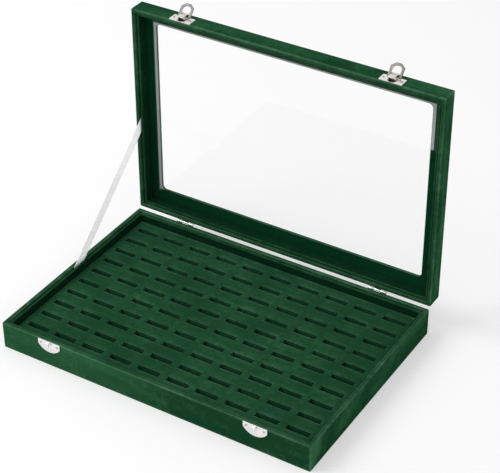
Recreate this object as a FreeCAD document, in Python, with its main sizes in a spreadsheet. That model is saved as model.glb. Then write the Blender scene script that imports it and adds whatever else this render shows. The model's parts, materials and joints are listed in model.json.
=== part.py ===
# Ring display tray: a velvet-covered case with a slotted ring pad and a glazed, hinged lid.
# Frame: origin at the middle of the underside, +X right, +Y back, +Z up, millimetres.
# The lid stands open, square to the base, as it does on its ribbon stay.
import FreeCAD, Part
import math
import os
import Sketcher
from FreeCAD import Placement, Rotation, Vector

os.makedirs("parts", exist_ok=True)
doc = FreeCAD.newDocument("ring_display_tray")

# Driving dimensions
SIZES = {
    # Whole case
    "case_width": 350,
    "case_depth": 238,
    "base_height": 30,
    "lid_height": 19.6,
    "rim_gap": 0.4,
    # Boards and cloth
    "velvet": 0.6,
    "wall_board": 3.2,
    "floor_board": 3,
    "felt": 0.5,
    "felt_inset": 4,
    "corner_radius": 1.2,
    "turn_in": 8,
    # Liners inside the walls
    "groove": 0.8,
    "liner_board": 2,
    "liner_drop": 2,
    # Ring pad
    "pad_drop": 9.5,
    "pad_gap": 0.3,
    "pad_board": 2,
    "columns": 10,
    "rows": 10,
    "slot_length": 25,
    "slot_width": 6.5,
    "column_land": 6.5,
    "row_land": 12.5,
    # Glazed top
    "top_board": 2.4,
    "window_border": 19,
    "window_radius": 5,
    "pane": 2,
    "pane_gap": 0.4,
    # Back hinges
    "hinge_inset": 59,
    "hinge_length": 21,
    "leaf_sheet": 0.6,
    "leaf_reach": 11,
    "knuckle_radius": 1.05,
    "knuckle_clearance": 0.25,
    "knuckle_gap": 0.2,
    "hinge_pin_radius": 0.5,
    "running_clearance": 0.05,
    # Nails
    "nail_shank": 1,
    "nail_length": 3,
    "nail_head_radius": 1.3,
    "nail_head_height": 0.5,
    "nail_clearance": 0.1,
    # Latches on the lid
    "latch_inset": 58,
    "plate_length": 24.5,
    "plate_width": 11,
    "plate_sheet": 0.8,
    "plate_setback": 0.6,
    "plate_nail_inset": 2.6,
    "lever_pivot_setback": 4,
    "lever_pivot_rise": 2,
    "lever_pin_radius": 0.6,
    "ear_radius": 1.1,
    "ear_sheet": 0.7,
    "ear_neck": 1.4,
    "lever_width": 7.2,
    "lever_sheet": 0.7,
    "lever_nose": 1.7,
    "lever_tail": 8,
    "lever_roof_rise": 1.4,
    "lever_lip": 0.5,
    "cheek_gap": 0.2,
    "loop_pivot_offset": 4.8,
    "loop_pivot_drop": 0.8,
    "cheek_margin": 0.9,
    # Swinging loops
    "loop_lean": 45,
    "loop_gap": 1,
    "loop_leg": 2.8,
    "loop_sheet": 0.7,
    "loop_heel": 0.9,
    "loop_stub_radius": 0.55,
    "loop_corner_radius": 4,
    "loop_tip_width": 5.2,
    "loop_shoulder": 3.6,
    "loop_play": 0.2,
    # Catches on the base
    "catch_length": 26,
    "catch_height": 12.5,
    "catch_end": 5.2,
    "catch_sheet": 0.8,
    "catch_drop": 0.5,
    "catch_nail_inset": 3.4,
    "catch_nail_drop": 3.2,
    "hook_width": 3,
    "hook_radius": 1.45,
    "hook_sheet": 0.7,
    "hook_drop": 1.4,
    "hook_tail": 2.8,
    # Ribbon stay
    "ribbon_width": 12,
    "ribbon_sheet": 0.4,
    "ribbon_tuck": 9,
    "ribbon_base_reach": 116,
    "ribbon_lid_reach": 102,
    # How far a cutter runs past the face it cuts
    "overrun": 1,
}
sheet = doc.addObject("Spreadsheet::Sheet", "Sizes")
for row, (alias, number) in enumerate(SIZES.items(), start=1):
    sheet.set(f"A{row}", alias)
    sheet.set(f"B{row}", str(number))
    sheet.setAlias(f"B{row}", alias)
doc.recompute()


def measure(expression):
    """The number that an expression in the sheet's sizes comes to."""
    return float(sheet.evalExpression(expression))


# Lines and levels that several pieces share, as expressions in the sheet's sizes
HALF_WIDTH = "(Sizes.case_width / 2)"
HALF_DEPTH = "(Sizes.case_depth / 2)"
BOARD_BACK = "(Sizes.velvet + Sizes.wall_board)"
WALL = f"({BOARD_BACK} + Sizes.velvet)"
LINER_BACK = f"({WALL} + Sizes.groove)"
LINER_FACE = f"({LINER_BACK} + Sizes.liner_board)"
FLOOR = "(Sizes.felt + Sizes.floor_board)"
PAD_SIDE = f"({LINER_FACE} + Sizes.pad_gap)"
PAD_FOOT = f"({FLOOR} + Sizes.pad_board)"
PAD_TOP = "(Sizes.base_height - Sizes.pad_drop)"
FOAM_TOP = f"({PAD_TOP} - Sizes.velvet)"
PAD_LENGTH = f"(Sizes.case_width - 2 * {PAD_SIDE})"
PAD_DEPTH = f"(Sizes.case_depth - 2 * {PAD_SIDE})"
FOAM_LENGTH = f"({PAD_LENGTH} - 2 * Sizes.velvet)"
FOAM_DEPTH = f"({PAD_DEPTH} - 2 * Sizes.velvet)"
COLUMN_PITCH = f"(({PAD_LENGTH} - 2 * Sizes.column_land - Sizes.slot_length) / (Sizes.columns - 1))"
ROW_PITCH = f"(({PAD_DEPTH} - 2 * Sizes.row_land - Sizes.slot_width) / (Sizes.rows - 1))"
FOAM_SLOT_LENGTH = "(Sizes.slot_length + 2 * Sizes.velvet)"
FOAM_SLOT_WIDTH = "(Sizes.slot_width + 2 * Sizes.velvet)"
AXIS_OFFSET = "(Sizes.knuckle_radius + Sizes.knuckle_clearance)"
AXIS_Y = f"({HALF_DEPTH} + {AXIS_OFFSET})"
AXIS_Z = "(Sizes.base_height + Sizes.rim_gap / 2)"
LID_RIM = f"({AXIS_Y} + Sizes.rim_gap / 2)"
LID_FOOT = f"({AXIS_Z} + {AXIS_OFFSET})"
LID_HEAD = f"({LID_FOOT} + Sizes.case_depth)"
TOP_BOARD_FACE = "(Sizes.lid_height - Sizes.velvet)"
PANE_TOP = f"({TOP_BOARD_FACE} - Sizes.top_board)"
PANE_FOOT = f"({PANE_TOP} - Sizes.pane)"
NOTCH = "(Sizes.knuckle_radius + Sizes.knuckle_gap)"
LEVER_Y = f"({LID_RIM} + Sizes.plate_setback + Sizes.lever_pivot_setback)"
LEVER_Z = f"({LID_HEAD} + Sizes.plate_sheet + Sizes.lever_pivot_rise)"
LOOP_Y = f"({LEVER_Y} + Sizes.loop_pivot_offset)"
LOOP_Z = f"({LEVER_Z} - Sizes.loop_pivot_drop)"
CHEEK_FACE = "(Sizes.lever_width / 2 - Sizes.lever_sheet)"
LOOP_HALF = "(Sizes.lever_width / 2 + Sizes.loop_gap)"
CATCH_TOP = "(Sizes.base_height - Sizes.catch_drop)"
HOOK_Z = f"({CATCH_TOP} - Sizes.hook_drop)"
HOOK_HOLLOW = "(Sizes.hook_radius - Sizes.hook_sheet)"
LOOP_RISE = "(Sizes.plate_sheet + Sizes.lever_pivot_rise - Sizes.loop_pivot_drop)"
# With the lid shut and the lever down, the loop's end bar lies up inside the hook
LOOP_FALL = f"({LOOP_Y} - {LID_RIM} + Sizes.rim_gap + Sizes.base_height)"
LOOP_REACH = f"({LOOP_FALL} - {HOOK_Z} - {HOOK_HOLLOW} + Sizes.loop_play)"


def bind(thing, **expressions):
    """Tie properties to the sheet; x, y and z stand for the place."""
    for name, expression in expressions.items():
        path = f"Placement.Base.{name}" if name in "xyz" else name
        thing.setExpression(path, expression)
    return thing


# Solids from primitives
def box(name, x, y, z):
    """A block; each direction gives its start and its length."""
    block = doc.addObject("Part::Box", name)
    bind(block, Length=x[1], Width=y[1], Height=z[1])
    return bind(block, x=x[0], y=y[0], z=z[0])


def middle(length):
    """Start and length of a stretch centred on zero."""
    return f"-({length}) / 2", f"({length})"


def inset_box(name, inset, start, height):
    """A block over the base's plan, brought in by an inset on all four sides."""
    across = middle(f"Sizes.case_width - 2 * {inset}")
    along = middle(f"Sizes.case_depth - 2 * {inset}")
    return box(name, across, along, (start, height))


def lid_inset_box(name, inset, start, height):
    """The same block in the open lid, where start and height run back from its rim."""
    across = middle(f"Sizes.case_width - 2 * {inset}")
    upward = (f"{LID_FOOT} + {inset}", f"Sizes.case_depth - 2 * {inset}")
    return box(name, across, (f"{LID_RIM} + {start}", height), upward)


def rod(name, radius, start, length, y, z):
    """A round bar along X."""
    bar = doc.addObject("Part::Cylinder", name)
    bar.Placement = Placement(Vector(), Rotation(Vector(0, 1, 0), 90))
    bind(bar, Radius=radius, Height=length)
    return bind(bar, x=start, y=y, z=z)


def cut(name, base, tool):
    """One solid less another."""
    result = doc.addObject("Part::Cut", name)
    result.Base = base
    result.Tool = tool
    return result


def fuse(name, shapes):
    """Several solids joined in one."""
    result = doc.addObject("Part::MultiFuse", name)
    result.Shapes = shapes
    return result


def rounded(name, base, radius, wanted):
    """A block with the edges that answer to wanted rounded off."""
    doc.recompute()
    result = doc.addObject("Part::Fillet", name)
    result.Base = base
    edges = enumerate(base.Shape.Edges, start=1)
    result.Edges = [(number, radius, radius) for number, edge in edges if wanted(edge)]
    return result


def runs_along(edge, direction):
    """Whether a straight edge runs along a direction."""
    return abs(edge.tangentAt(edge.FirstParameter).dot(direction)) > 0.9


def solids(name, shapes):
    """A group of like, separate solids in one node."""
    group = doc.addObject("Part::Feature", name)
    group.Shape = Part.makeCompound(shapes)
    return group


# Solids from sketches
def new_body(name):
    """An empty body."""
    return doc.addObject("PartDesign::Body", name)


def sketch_on(body, name, role):
    """A sketch on one of the body's own origin planes."""
    drawing = body.newObject("Sketcher::SketchObject", name)
    plane = next(plane for plane in body.Origin.OriginFeatures if plane.Role == role)
    drawing.AttachmentSupport = (plane, [""])
    drawing.MapMode = "FlatFace"
    return drawing


def pin_point(drawing, piece, end, point):
    """Tie one point of a sketch to a pair of expressions."""
    for kind, expression in zip(("DistanceX", "DistanceY"), point):
        constraint = Sketcher.Constraint(kind, piece, end, measure(expression))
        number = drawing.addConstraint(constraint)
        drawing.setExpression(f"Constraints[{number}]", expression)


def draw_outline(drawing, points):
    """A closed outline of straight lines through points given as expressions."""
    places = [Vector(*(measure(part) for part in point), 0) for point in points]
    first = drawing.GeometryCount
    count = len(points)
    for turn in range(count):
        drawing.addGeometry(Part.LineSegment(places[turn], places[(turn + 1) % count]), False)
    for turn in range(count):
        after = first + (turn + 1) % count
        drawing.addConstraint(Sketcher.Constraint("Coincident", first + turn, 2, after, 1))
    for turn in range(count):
        pin_point(drawing, first + turn, 1, points[turn])


def draw_circle(drawing, centre, radius):
    """A circle whose centre and radius are expressions."""
    place = Vector(*(measure(part) for part in centre), 0)
    circle = Part.Circle(place, Vector(0, 0, 1), measure(radius))
    number = drawing.addGeometry(circle, False)
    pin_point(drawing, number, 3, centre)
    size = drawing.addConstraint(Sketcher.Constraint("Radius", number, measure(radius)))
    drawing.setExpression(f"Constraints[{size}]", radius)


def extrude(body, kind, name, drawing, length, both_ways):
    """A pad or pocket of a sketch."""
    feature = body.newObject(f"PartDesign::{kind}", name)
    feature.Profile = drawing
    feature.SideType = "Symmetric" if both_ways else "One side"
    feature.setExpression("Length", length)
    doc.recompute()
    return feature


def round_edges(body, name, radius, wanted):
    """Round the edges of the body's last feature that answer to wanted."""
    base = body.Tip
    edges = enumerate(base.Shape.Edges, start=1)
    names = [f"Edge{number}" for number, edge in edges if wanted(edge)]
    feature = body.newObject("PartDesign::Fillet", name)
    feature.Base = (base, names)
    feature.setExpression("Radius", radius)
    doc.recompute()


def mitred_frame(names, half_x, half_y, thickness, start, height, in_lid):
    """Four boards with mitred corners round a rectangle: front, back, left, right."""
    inner_x = f"({half_x} - {thickness})"
    inner_y = f"({half_y} - {thickness})"
    across = ((f"-{half_x}", f"-{half_y}"), (half_x, f"-{half_y}"))
    across += ((inner_x, f"-{inner_y}"), (f"-{inner_x}", f"-{inner_y}"))
    along = ((f"-{half_x}", f"-{half_y}"), (f"-{inner_x}", f"-{inner_y}"))
    along += ((f"-{inner_x}", inner_y), (f"-{half_x}", half_y))
    plans = (
        across,
        tuple((x, y.removeprefix("-")) for x, y in across),
        along,
        tuple((x.removeprefix("-"), y) for x, y in along),
    )
    for name, points in zip(names, plans):
        board = new_body(name)
        plan = sketch_on(board, f"{name}_plan", "XY_Plane")
        draw_outline(plan, points)
        extrude(board, "Pad", f"{name}_pad", plan, height, False)
        if in_lid:
            board.Placement = Placement(Vector(), Rotation(Vector(1, 0, 0), -90))
            bind(board, y=f"{LID_RIM} + {start}", z=f"{LID_FOOT} + {HALF_DEPTH}")
        else:
            bind(board, z=start)


def sides_of(prefix, suffix):
    """The names of four boards round a rectangle."""
    return [f"{prefix}_{side}_{suffix}" for side in ("front", "back", "left", "right")]


# Base case: felt, floor and mitred walls
inset_box("base_underside_felt", "Sizes.felt_inset", "0", "Sizes.felt")
inset_box("base_floor_panel", "Sizes.velvet", "Sizes.felt", "Sizes.floor_board")
mitred_frame(
    sides_of("base", "wall"),
    f"({HALF_WIDTH} - Sizes.velvet)",
    f"({HALF_DEPTH} - Sizes.velvet)",
    "Sizes.wall_board",
    FLOOR,
    f"Sizes.base_height - Sizes.velvet - {FLOOR}",
    False,
)

# Base velvet: over the outside and the rim, and turned in behind the liners
base_block = inset_box("base_cloth_block", "0", "Sizes.felt", "Sizes.base_height - Sizes.felt")
base_soft = rounded(
    "base_cloth_round",
    base_block,
    measure("Sizes.corner_radius"),
    lambda edge: edge.BoundBox.ZMax > measure("Sizes.base_height / 2"),
)
base_room = inset_box(
    "base_cloth_room",
    "Sizes.velvet",
    "Sizes.felt",
    "Sizes.base_height - Sizes.velvet - Sizes.felt",
)
base_lip = inset_box(
    "base_cloth_lip",
    BOARD_BACK,
    "Sizes.base_height - Sizes.turn_in",
    "Sizes.turn_in + Sizes.overrun",
)
base_well = inset_box("base_cloth_well", WALL, "Sizes.felt", "Sizes.base_height + Sizes.overrun")
base_shell = cut("base_cloth_shell", base_soft, cut("base_cloth_void", base_room, base_lip))
cut("base_velvet_wrap", base_shell, base_well)

# Liners: velvet-covered card standing inside the walls
mitred_frame(
    sides_of("base", "liner"),
    f"({HALF_WIDTH} - {LINER_BACK})",
    f"({HALF_DEPTH} - {LINER_BACK})",
    "Sizes.liner_board",
    FLOOR,
    f"Sizes.base_height - Sizes.liner_drop - {FLOOR}",
    False,
)

# Ring pad: foam bars and spacers on a board, under one velvet cover that lines every slot
inset_box("pad_board", PAD_SIDE, FLOOR, "Sizes.pad_board")
columns = round(measure("Sizes.columns"))
rows = round(measure("Sizes.rows"))
column_places = [f"({COLUMN_PITCH} * ({n} - (Sizes.columns - 1) / 2))" for n in range(columns)]
row_places = [f"({ROW_PITCH} * ({n} - (Sizes.rows - 1) / 2))" for n in range(rows)]


def lands(places, slot, whole):
    """Start and length of each stretch of foam between slots, end stretches included."""
    half = f"({whole} / 2)"
    starts = [f"-{half}"] + [f"{place} + {slot} / 2" for place in places]
    stops = [f"{place} - {slot} / 2" for place in places] + [half]
    return [(start, f"{stop} - ({start})") for start, stop in zip(starts, stops)]


foam_height = f"{FOAM_TOP} - {PAD_FOOT}"
foam = []
for number, land in enumerate(lands(row_places, FOAM_SLOT_WIDTH, FOAM_DEPTH), start=1):
    bar = box(f"foam_bar_{number:02d}", middle(FOAM_LENGTH), land, (PAD_FOOT, foam_height))
    foam.append(bar)


def block(x, y, z):
    """A plain block's shape, from the numbers of its starts and lengths."""
    numbers = [(measure(start), measure(length)) for start, length in (x, y, z)]
    corner = Vector(*(start for start, length in numbers))
    return Part.makeBox(*(length for start, length in numbers), corner)


spacer_rows = [(f"{place} - {FOAM_SLOT_WIDTH} / 2", FOAM_SLOT_WIDTH) for place in row_places]
spacer_blocks = [
    block(land, spacer_row, (PAD_FOOT, foam_height))
    for spacer_row in spacer_rows
    for land in lands(column_places, FOAM_SLOT_LENGTH, FOAM_LENGTH)
]
foam.append(solids("foam_spacers", spacer_blocks))
slot_height = (f"{PAD_FOOT} + Sizes.velvet", f"{PAD_TOP} - {PAD_FOOT}")
slot_blocks = [
    block(
        (f"{across} - Sizes.slot_length / 2", "Sizes.slot_length"),
        (f"{along} - Sizes.slot_width / 2", "Sizes.slot_width"),
        slot_height,
    )
    for along in row_places
    for across in column_places
]
pad_block = inset_box("pad_cover_block", PAD_SIDE, PAD_FOOT, f"{PAD_TOP} - {PAD_FOOT}")
foam_whole = doc.addObject("Part::Compound", "pad_foam_whole")
foam_whole.Links = foam
slots_whole = solids("pad_slots_whole", slot_blocks)
cut("pad_cover", cut("pad_cover_skin", pad_block, foam_whole), slots_whole)

# Lid: mitred rails, a top board with a rounded window, the pane under it and the liners that hold it
mitred_frame(
    sides_of("lid", "rail"),
    f"({HALF_WIDTH} - Sizes.velvet)",
    f"({HALF_DEPTH} - Sizes.velvet)",
    "Sizes.wall_board",
    "Sizes.velvet",
    f"{PANE_TOP} - Sizes.velvet",
    True,
)
mitred_frame(
    sides_of("lid", "liner"),
    f"({HALF_WIDTH} - {LINER_BACK})",
    f"({HALF_DEPTH} - {LINER_BACK})",
    "Sizes.liner_board",
    "Sizes.liner_drop",
    f"{PANE_FOOT} - Sizes.liner_drop",
    True,
)
lid_inset_box("glass_pane", f"({BOARD_BACK} + Sizes.pane_gap)", PANE_FOOT, "Sizes.pane")
window = rounded(
    "lid_window",
    lid_inset_box("lid_window_block", "Sizes.window_border", PANE_TOP, "Sizes.lid_height"),
    measure("Sizes.window_radius"),
    lambda edge: runs_along(edge, Vector(0, 1, 0)),
)
top_board = lid_inset_box("lid_top_block", "Sizes.velvet", PANE_TOP, "Sizes.top_board")
cut("lid_top_frame", top_board, window)

# Lid velvet: over the outside, round the window and turned in at the rim
lid_block = lid_inset_box("lid_cloth_block", "0", "0", "Sizes.lid_height")
lid_soft = rounded("lid_cloth_round", lid_block, measure("Sizes.corner_radius"), lambda edge: True)
lid_room = lid_inset_box(
    "lid_cloth_room", "Sizes.velvet", "Sizes.velvet", f"{TOP_BOARD_FACE} - Sizes.velvet"
)
lid_lip = lid_inset_box("lid_cloth_lip", BOARD_BACK, "0", "Sizes.turn_in")
lid_well = lid_inset_box("lid_cloth_well", WALL, "-Sizes.overrun", "Sizes.turn_in + 2 * Sizes.overrun")
lid_shell = cut("lid_cloth_shell", lid_soft, cut("lid_cloth_void", lid_room, lid_lip))
cut("lid_velvet_wrap", cut("lid_cloth_open", lid_shell, lid_well), window)


# Nails: a low faceted head on a square shank
HEAD_SIDES = 12
CROWN_SHARE = 0.6


def ring(radius, height):
    """The outline of a nail's head at one height."""
    turns = [2 * math.pi * side / HEAD_SIDES for side in range(HEAD_SIDES + 1)]
    return Part.makePolygon([Vector(radius * math.cos(a), radius * math.sin(a), height) for a in turns])


def nail(point, direction):
    """A nail whose head sits at a point on a plate's face, driven along a direction."""
    radius = measure("Sizes.nail_head_radius")
    rise = measure("Sizes.nail_head_height")
    head = Part.makeLoft([ring(radius, 0), ring(radius * CROWN_SHARE, rise)], True, True)
    solid = head.fuse(square_bar("Sizes.nail_shank", 0, -measure("Sizes.nail_length")))
    solid.Placement = Placement(point, Rotation(Vector(0, 0, -1), direction))
    return solid


def square_bar(side, start, stop):
    """A square bar along Z between two heights."""
    side = measure(side)
    return Part.makeBox(side, side, abs(stop - start), Vector(-side / 2, -side / 2, min(start, stop)))


def nail_holes(name, points, direction):
    """Punched clearance holes for nails, as one cutter."""
    run = measure("Sizes.nail_length + Sizes.overrun")
    holes = []
    for point in points:
        hole = square_bar("Sizes.nail_shank + 2 * Sizes.nail_clearance", -run, run)
        hole.Placement = Placement(point, Rotation(Vector(0, 0, -1), direction))
        holes.append(hole)
    return solids(name, holes)


# Back hinges: each has a base leaf with the end knuckles, a lid leaf with the middle one, and a pin
HANDS = (("left", "-"), ("right", "+"))
THIRD = "(Sizes.hinge_length / 3)"
INTO_BASE_BACK = Vector(0, -1, 0)
INTO_LID_BACK = Vector(0, 0, 1)
base_leaf_nails = []
lid_leaf_nails = []
for hand, sign in HANDS:
    centre = f"({sign}({HALF_WIDTH} - Sizes.hinge_inset))"
    start = f"({centre} - Sizes.hinge_length / 2)"
    whole = (start, "Sizes.hinge_length")
    first = (start, f"{THIRD} - Sizes.knuckle_gap")
    second = (f"{start} + {THIRD}", THIRD)
    third = (f"{start} + 2 * {THIRD} + Sizes.knuckle_gap", f"{THIRD} - Sizes.knuckle_gap")
    on_back = (HALF_DEPTH, "Sizes.leaf_sheet")
    under_lid = (f"{LID_FOOT} - Sizes.leaf_sheet", "Sizes.leaf_sheet")
    reach = f"Sizes.leaf_reach - {NOTCH}"
    bore = rod(
        f"hinge_bore_{hand}",
        "Sizes.hinge_pin_radius + Sizes.running_clearance",
        f"{start} - Sizes.overrun",
        "Sizes.hinge_length + 2 * Sizes.overrun",
        AXIS_Y,
        AXIS_Z,
    )
    base_pieces = [box(f"base_leaf_{hand}", whole, on_back, (f"{AXIS_Z} - Sizes.leaf_reach", reach))]
    for end, stretch in (("near", first), ("far", third)):
        web = (f"{AXIS_Z} - {NOTCH}", NOTCH)
        base_pieces.append(box(f"base_web_{end}_{hand}", stretch, on_back, web))
        barrel = rod(f"base_knuckle_{end}_{hand}", "Sizes.knuckle_radius", *stretch, AXIS_Y, AXIS_Z)
        base_pieces.append(barrel)
    lid_pieces = [
        box(f"lid_leaf_{hand}", whole, (f"{AXIS_Y} + {NOTCH}", reach), under_lid),
        box(f"lid_web_{hand}", second, (AXIS_Y, NOTCH), under_lid),
        rod(f"lid_knuckle_{hand}", "Sizes.knuckle_radius", *second, AXIS_Y, AXIS_Z),
    ]
    nail_x = [measure(f"{centre} + {side} * Sizes.hinge_length / 4") for side in ("-1", "1")]
    nail_run = f"({NOTCH} + Sizes.leaf_reach) / 2"
    base_y = measure(f"{HALF_DEPTH} + Sizes.leaf_sheet")
    base_at = [Vector(x, base_y, measure(f"{AXIS_Z} - {nail_run}")) for x in nail_x]
    lid_z = measure(f"{LID_FOOT} - Sizes.leaf_sheet")
    lid_at = [Vector(x, measure(f"{AXIS_Y} + {nail_run}"), lid_z) for x in nail_x]
    base_holes = nail_holes(f"base_leaf_holes_{hand}", base_at, INTO_BASE_BACK)
    base_leaf = cut(f"base_leaf_bored_{hand}", fuse(f"base_leaf_whole_{hand}", base_pieces), bore)
    cut(f"hinge_base_leaf_{hand}", base_leaf, base_holes)
    lid_holes = nail_holes(f"lid_leaf_holes_{hand}", lid_at, INTO_LID_BACK)
    lid_leaf = cut(f"lid_leaf_bored_{hand}", fuse(f"lid_leaf_whole_{hand}", lid_pieces), bore)
    cut(f"hinge_lid_leaf_{hand}", lid_leaf, lid_holes)
    rod(f"hinge_pin_{hand}", "Sizes.hinge_pin_radius", *whole, AXIS_Y, AXIS_Z)
    base_leaf_nails += [nail(point, INTO_BASE_BACK) for point in base_at]
    lid_leaf_nails += [nail(point, INTO_LID_BACK) for point in lid_at]
solids("hinge_base_nails", base_leaf_nails)
solids("hinge_lid_nails", lid_leaf_nails)


# Latches: an eared plate on the lid's front rail, a lever on the ears' pin, a loop on the lever
def latch_plate(hand, centre):
    """The plate with its two ears; gives the plate's nail points."""
    across = (f"{centre} - Sizes.plate_length / 2", "Sizes.plate_length")
    back = (f"{LID_RIM} + Sizes.plate_setback", "Sizes.plate_width")
    pieces = [box(f"plate_sheet_{hand}", across, back, (LID_HEAD, "Sizes.plate_sheet"))]
    ear_face = f"({CHEEK_FACE} - Sizes.cheek_gap)"
    for side, edge in (("near", f"-{ear_face}"), ("far", f"({ear_face} - Sizes.ear_sheet)")):
        stretch = (f"{centre} + {edge}", "Sizes.ear_sheet")
        stem = (f"{LID_HEAD} + Sizes.plate_sheet", "Sizes.lever_pivot_rise")
        along = (f"{LEVER_Y} - Sizes.ear_neck / 2", "Sizes.ear_neck")
        pieces.append(box(f"ear_stem_{side}_{hand}", stretch, along, stem))
        pieces.append(rod(f"ear_head_{side}_{hand}", "Sizes.ear_radius", *stretch, LEVER_Y, LEVER_Z))
    bore = rod(
        f"ear_bore_{hand}",
        "Sizes.lever_pin_radius + Sizes.running_clearance",
        f"{centre} - Sizes.lever_width / 2",
        "Sizes.lever_width",
        LEVER_Y,
        LEVER_Z,
    )
    plate = cut(f"plate_bored_{hand}", fuse(f"plate_whole_{hand}", pieces), bore)
    y = measure(f"{LID_RIM} + Sizes.plate_setback + Sizes.plate_width / 2")
    z = measure(f"{LID_HEAD} + Sizes.plate_sheet")
    nail_out = "(Sizes.plate_length / 2 - Sizes.plate_nail_inset)"
    points = [Vector(measure(f"{centre} + {side} * {nail_out}"), y, z) for side in ("-1", "1")]
    cut(f"latch_plate_{hand}", plate, nail_holes(f"plate_holes_{hand}", points, Vector(0, 0, -1)))
    return points


def latch_lever(hand, centre):
    """A pressed channel: a roof with a turned-down front lip between two cheeks."""
    lever = new_body(f"latch_lever_{hand}")
    roof = "(Sizes.lever_roof_rise + Sizes.lever_sheet)"
    low = "-(Sizes.loop_pivot_drop + Sizes.cheek_margin)"
    cheek = (
        ("-Sizes.lever_nose", roof),
        ("Sizes.lever_tail", roof),
        ("Sizes.lever_tail", "Sizes.lever_roof_rise"),
        ("Sizes.loop_pivot_offset + Sizes.cheek_margin", low),
        ("Sizes.loop_pivot_offset - Sizes.cheek_margin", low),
        ("-Sizes.lever_nose + Sizes.lever_sheet", "-Sizes.ear_radius"),
        ("-Sizes.lever_nose", "0"),
    )
    side = sketch_on(lever, f"lever_side_{hand}", "YZ_Plane")
    draw_outline(side, cheek)
    extrude(lever, "Pad", f"lever_pad_{hand}", side, "Sizes.lever_width", True)
    lip_back = "(Sizes.lever_sheet - Sizes.lever_nose)"
    past_tail = "(Sizes.lever_tail + Sizes.overrun)"
    past_foot = f"({low} - Sizes.overrun)"
    lip_foot = "(Sizes.lever_roof_rise - Sizes.lever_lip)"
    past_nose = "-(Sizes.lever_nose + Sizes.overrun)"
    inside = (
        (lip_back, "Sizes.lever_roof_rise"),
        (past_tail, "Sizes.lever_roof_rise"),
        (past_tail, past_foot),
        (past_nose, past_foot),
        (past_nose, lip_foot),
        (lip_back, lip_foot),
    )
    channel = sketch_on(lever, f"lever_channel_{hand}", "YZ_Plane")
    draw_outline(channel, inside)
    extrude(lever, "Pocket", f"lever_pocket_{hand}", channel, f"2 * {CHEEK_FACE}", True)
    holes = sketch_on(lever, f"lever_holes_{hand}", "YZ_Plane")
    draw_circle(holes, ("0", "0"), "Sizes.lever_pin_radius + Sizes.running_clearance")
    loop_hole = ("Sizes.loop_pivot_offset", "-Sizes.loop_pivot_drop")
    draw_circle(holes, loop_hole, "Sizes.loop_stub_radius + Sizes.running_clearance")
    extrude(lever, "Pocket", f"lever_bores_{hand}", holes, "Sizes.lever_width + Sizes.overrun", True)
    bind(lever, x=centre, y=LEVER_Y, z=LEVER_Z)


def latch_loop(hand, centre):
    """A flat six-sided loop on two inward stubs, leaning back off the lid."""
    loop = new_body(f"latch_loop_{hand}")
    outer = f"({LOOP_HALF} + Sizes.loop_leg)"
    tip = f"({LOOP_REACH} + Sizes.loop_leg)"
    shoulder = f"({tip} - Sizes.loop_shoulder)"
    half_tip = "(Sizes.loop_tip_width / 2)"
    outside = (
        (outer, "-Sizes.loop_heel"),
        (outer, shoulder),
        (half_tip, tip),
        (f"-{half_tip}", tip),
        (f"-{outer}", shoulder),
        (f"-{outer}", "-Sizes.loop_heel"),
    )
    plan = sketch_on(loop, f"loop_plan_{hand}", "XY_Plane")
    draw_outline(plan, outside)
    extrude(loop, "Pad", f"loop_pad_{hand}", plan, "Sizes.loop_sheet", True)
    past_heel = "-(Sizes.loop_heel + Sizes.overrun)"
    inside = (
        (LOOP_HALF, past_heel),
        (LOOP_HALF, LOOP_REACH),
        (f"-{LOOP_HALF}", LOOP_REACH),
        (f"-{LOOP_HALF}", past_heel),
    )
    eye = sketch_on(loop, f"loop_eye_{hand}", "XY_Plane")
    draw_outline(eye, inside)
    extrude(loop, "Pocket", f"loop_pocket_{hand}", eye, "Sizes.loop_sheet + Sizes.overrun", True)
    half_leg = measure("Sizes.loop_leg / 2")

    def at_eye_corner(edge):
        """Whether an upright edge stands at a corner of the eye's far end."""
        place = edge.CenterOfMass
        between_legs = abs(place.x) < measure(LOOP_HALF) + half_leg
        at_end = abs(place.y - measure(LOOP_REACH)) < half_leg
        return runs_along(edge, Vector(0, 0, 1)) and between_legs and at_end

    round_edges(loop, f"loop_round_{hand}", "Sizes.loop_corner_radius", at_eye_corner)
    stub = sketch_on(loop, f"loop_stub_{hand}", "YZ_Plane")
    draw_circle(stub, ("0", "0"), "Sizes.loop_stub_radius")
    extrude(loop, "Pad", f"loop_stub_pad_{hand}", stub, f"2 * {outer}", True)
    gap = sketch_on(loop, f"loop_gap_{hand}", "YZ_Plane")
    draw_circle(gap, ("0", "0"), "Sizes.loop_stub_radius + Sizes.overrun")
    extrude(loop, "Pocket", f"loop_gap_cut_{hand}", gap, f"2 * {CHEEK_FACE}", True)
    loop.Placement = Placement(Vector(), Rotation(Vector(1, 0, 0), measure("Sizes.loop_lean")))
    bind(loop, x=centre, y=LOOP_Y, z=LOOP_Z)


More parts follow.
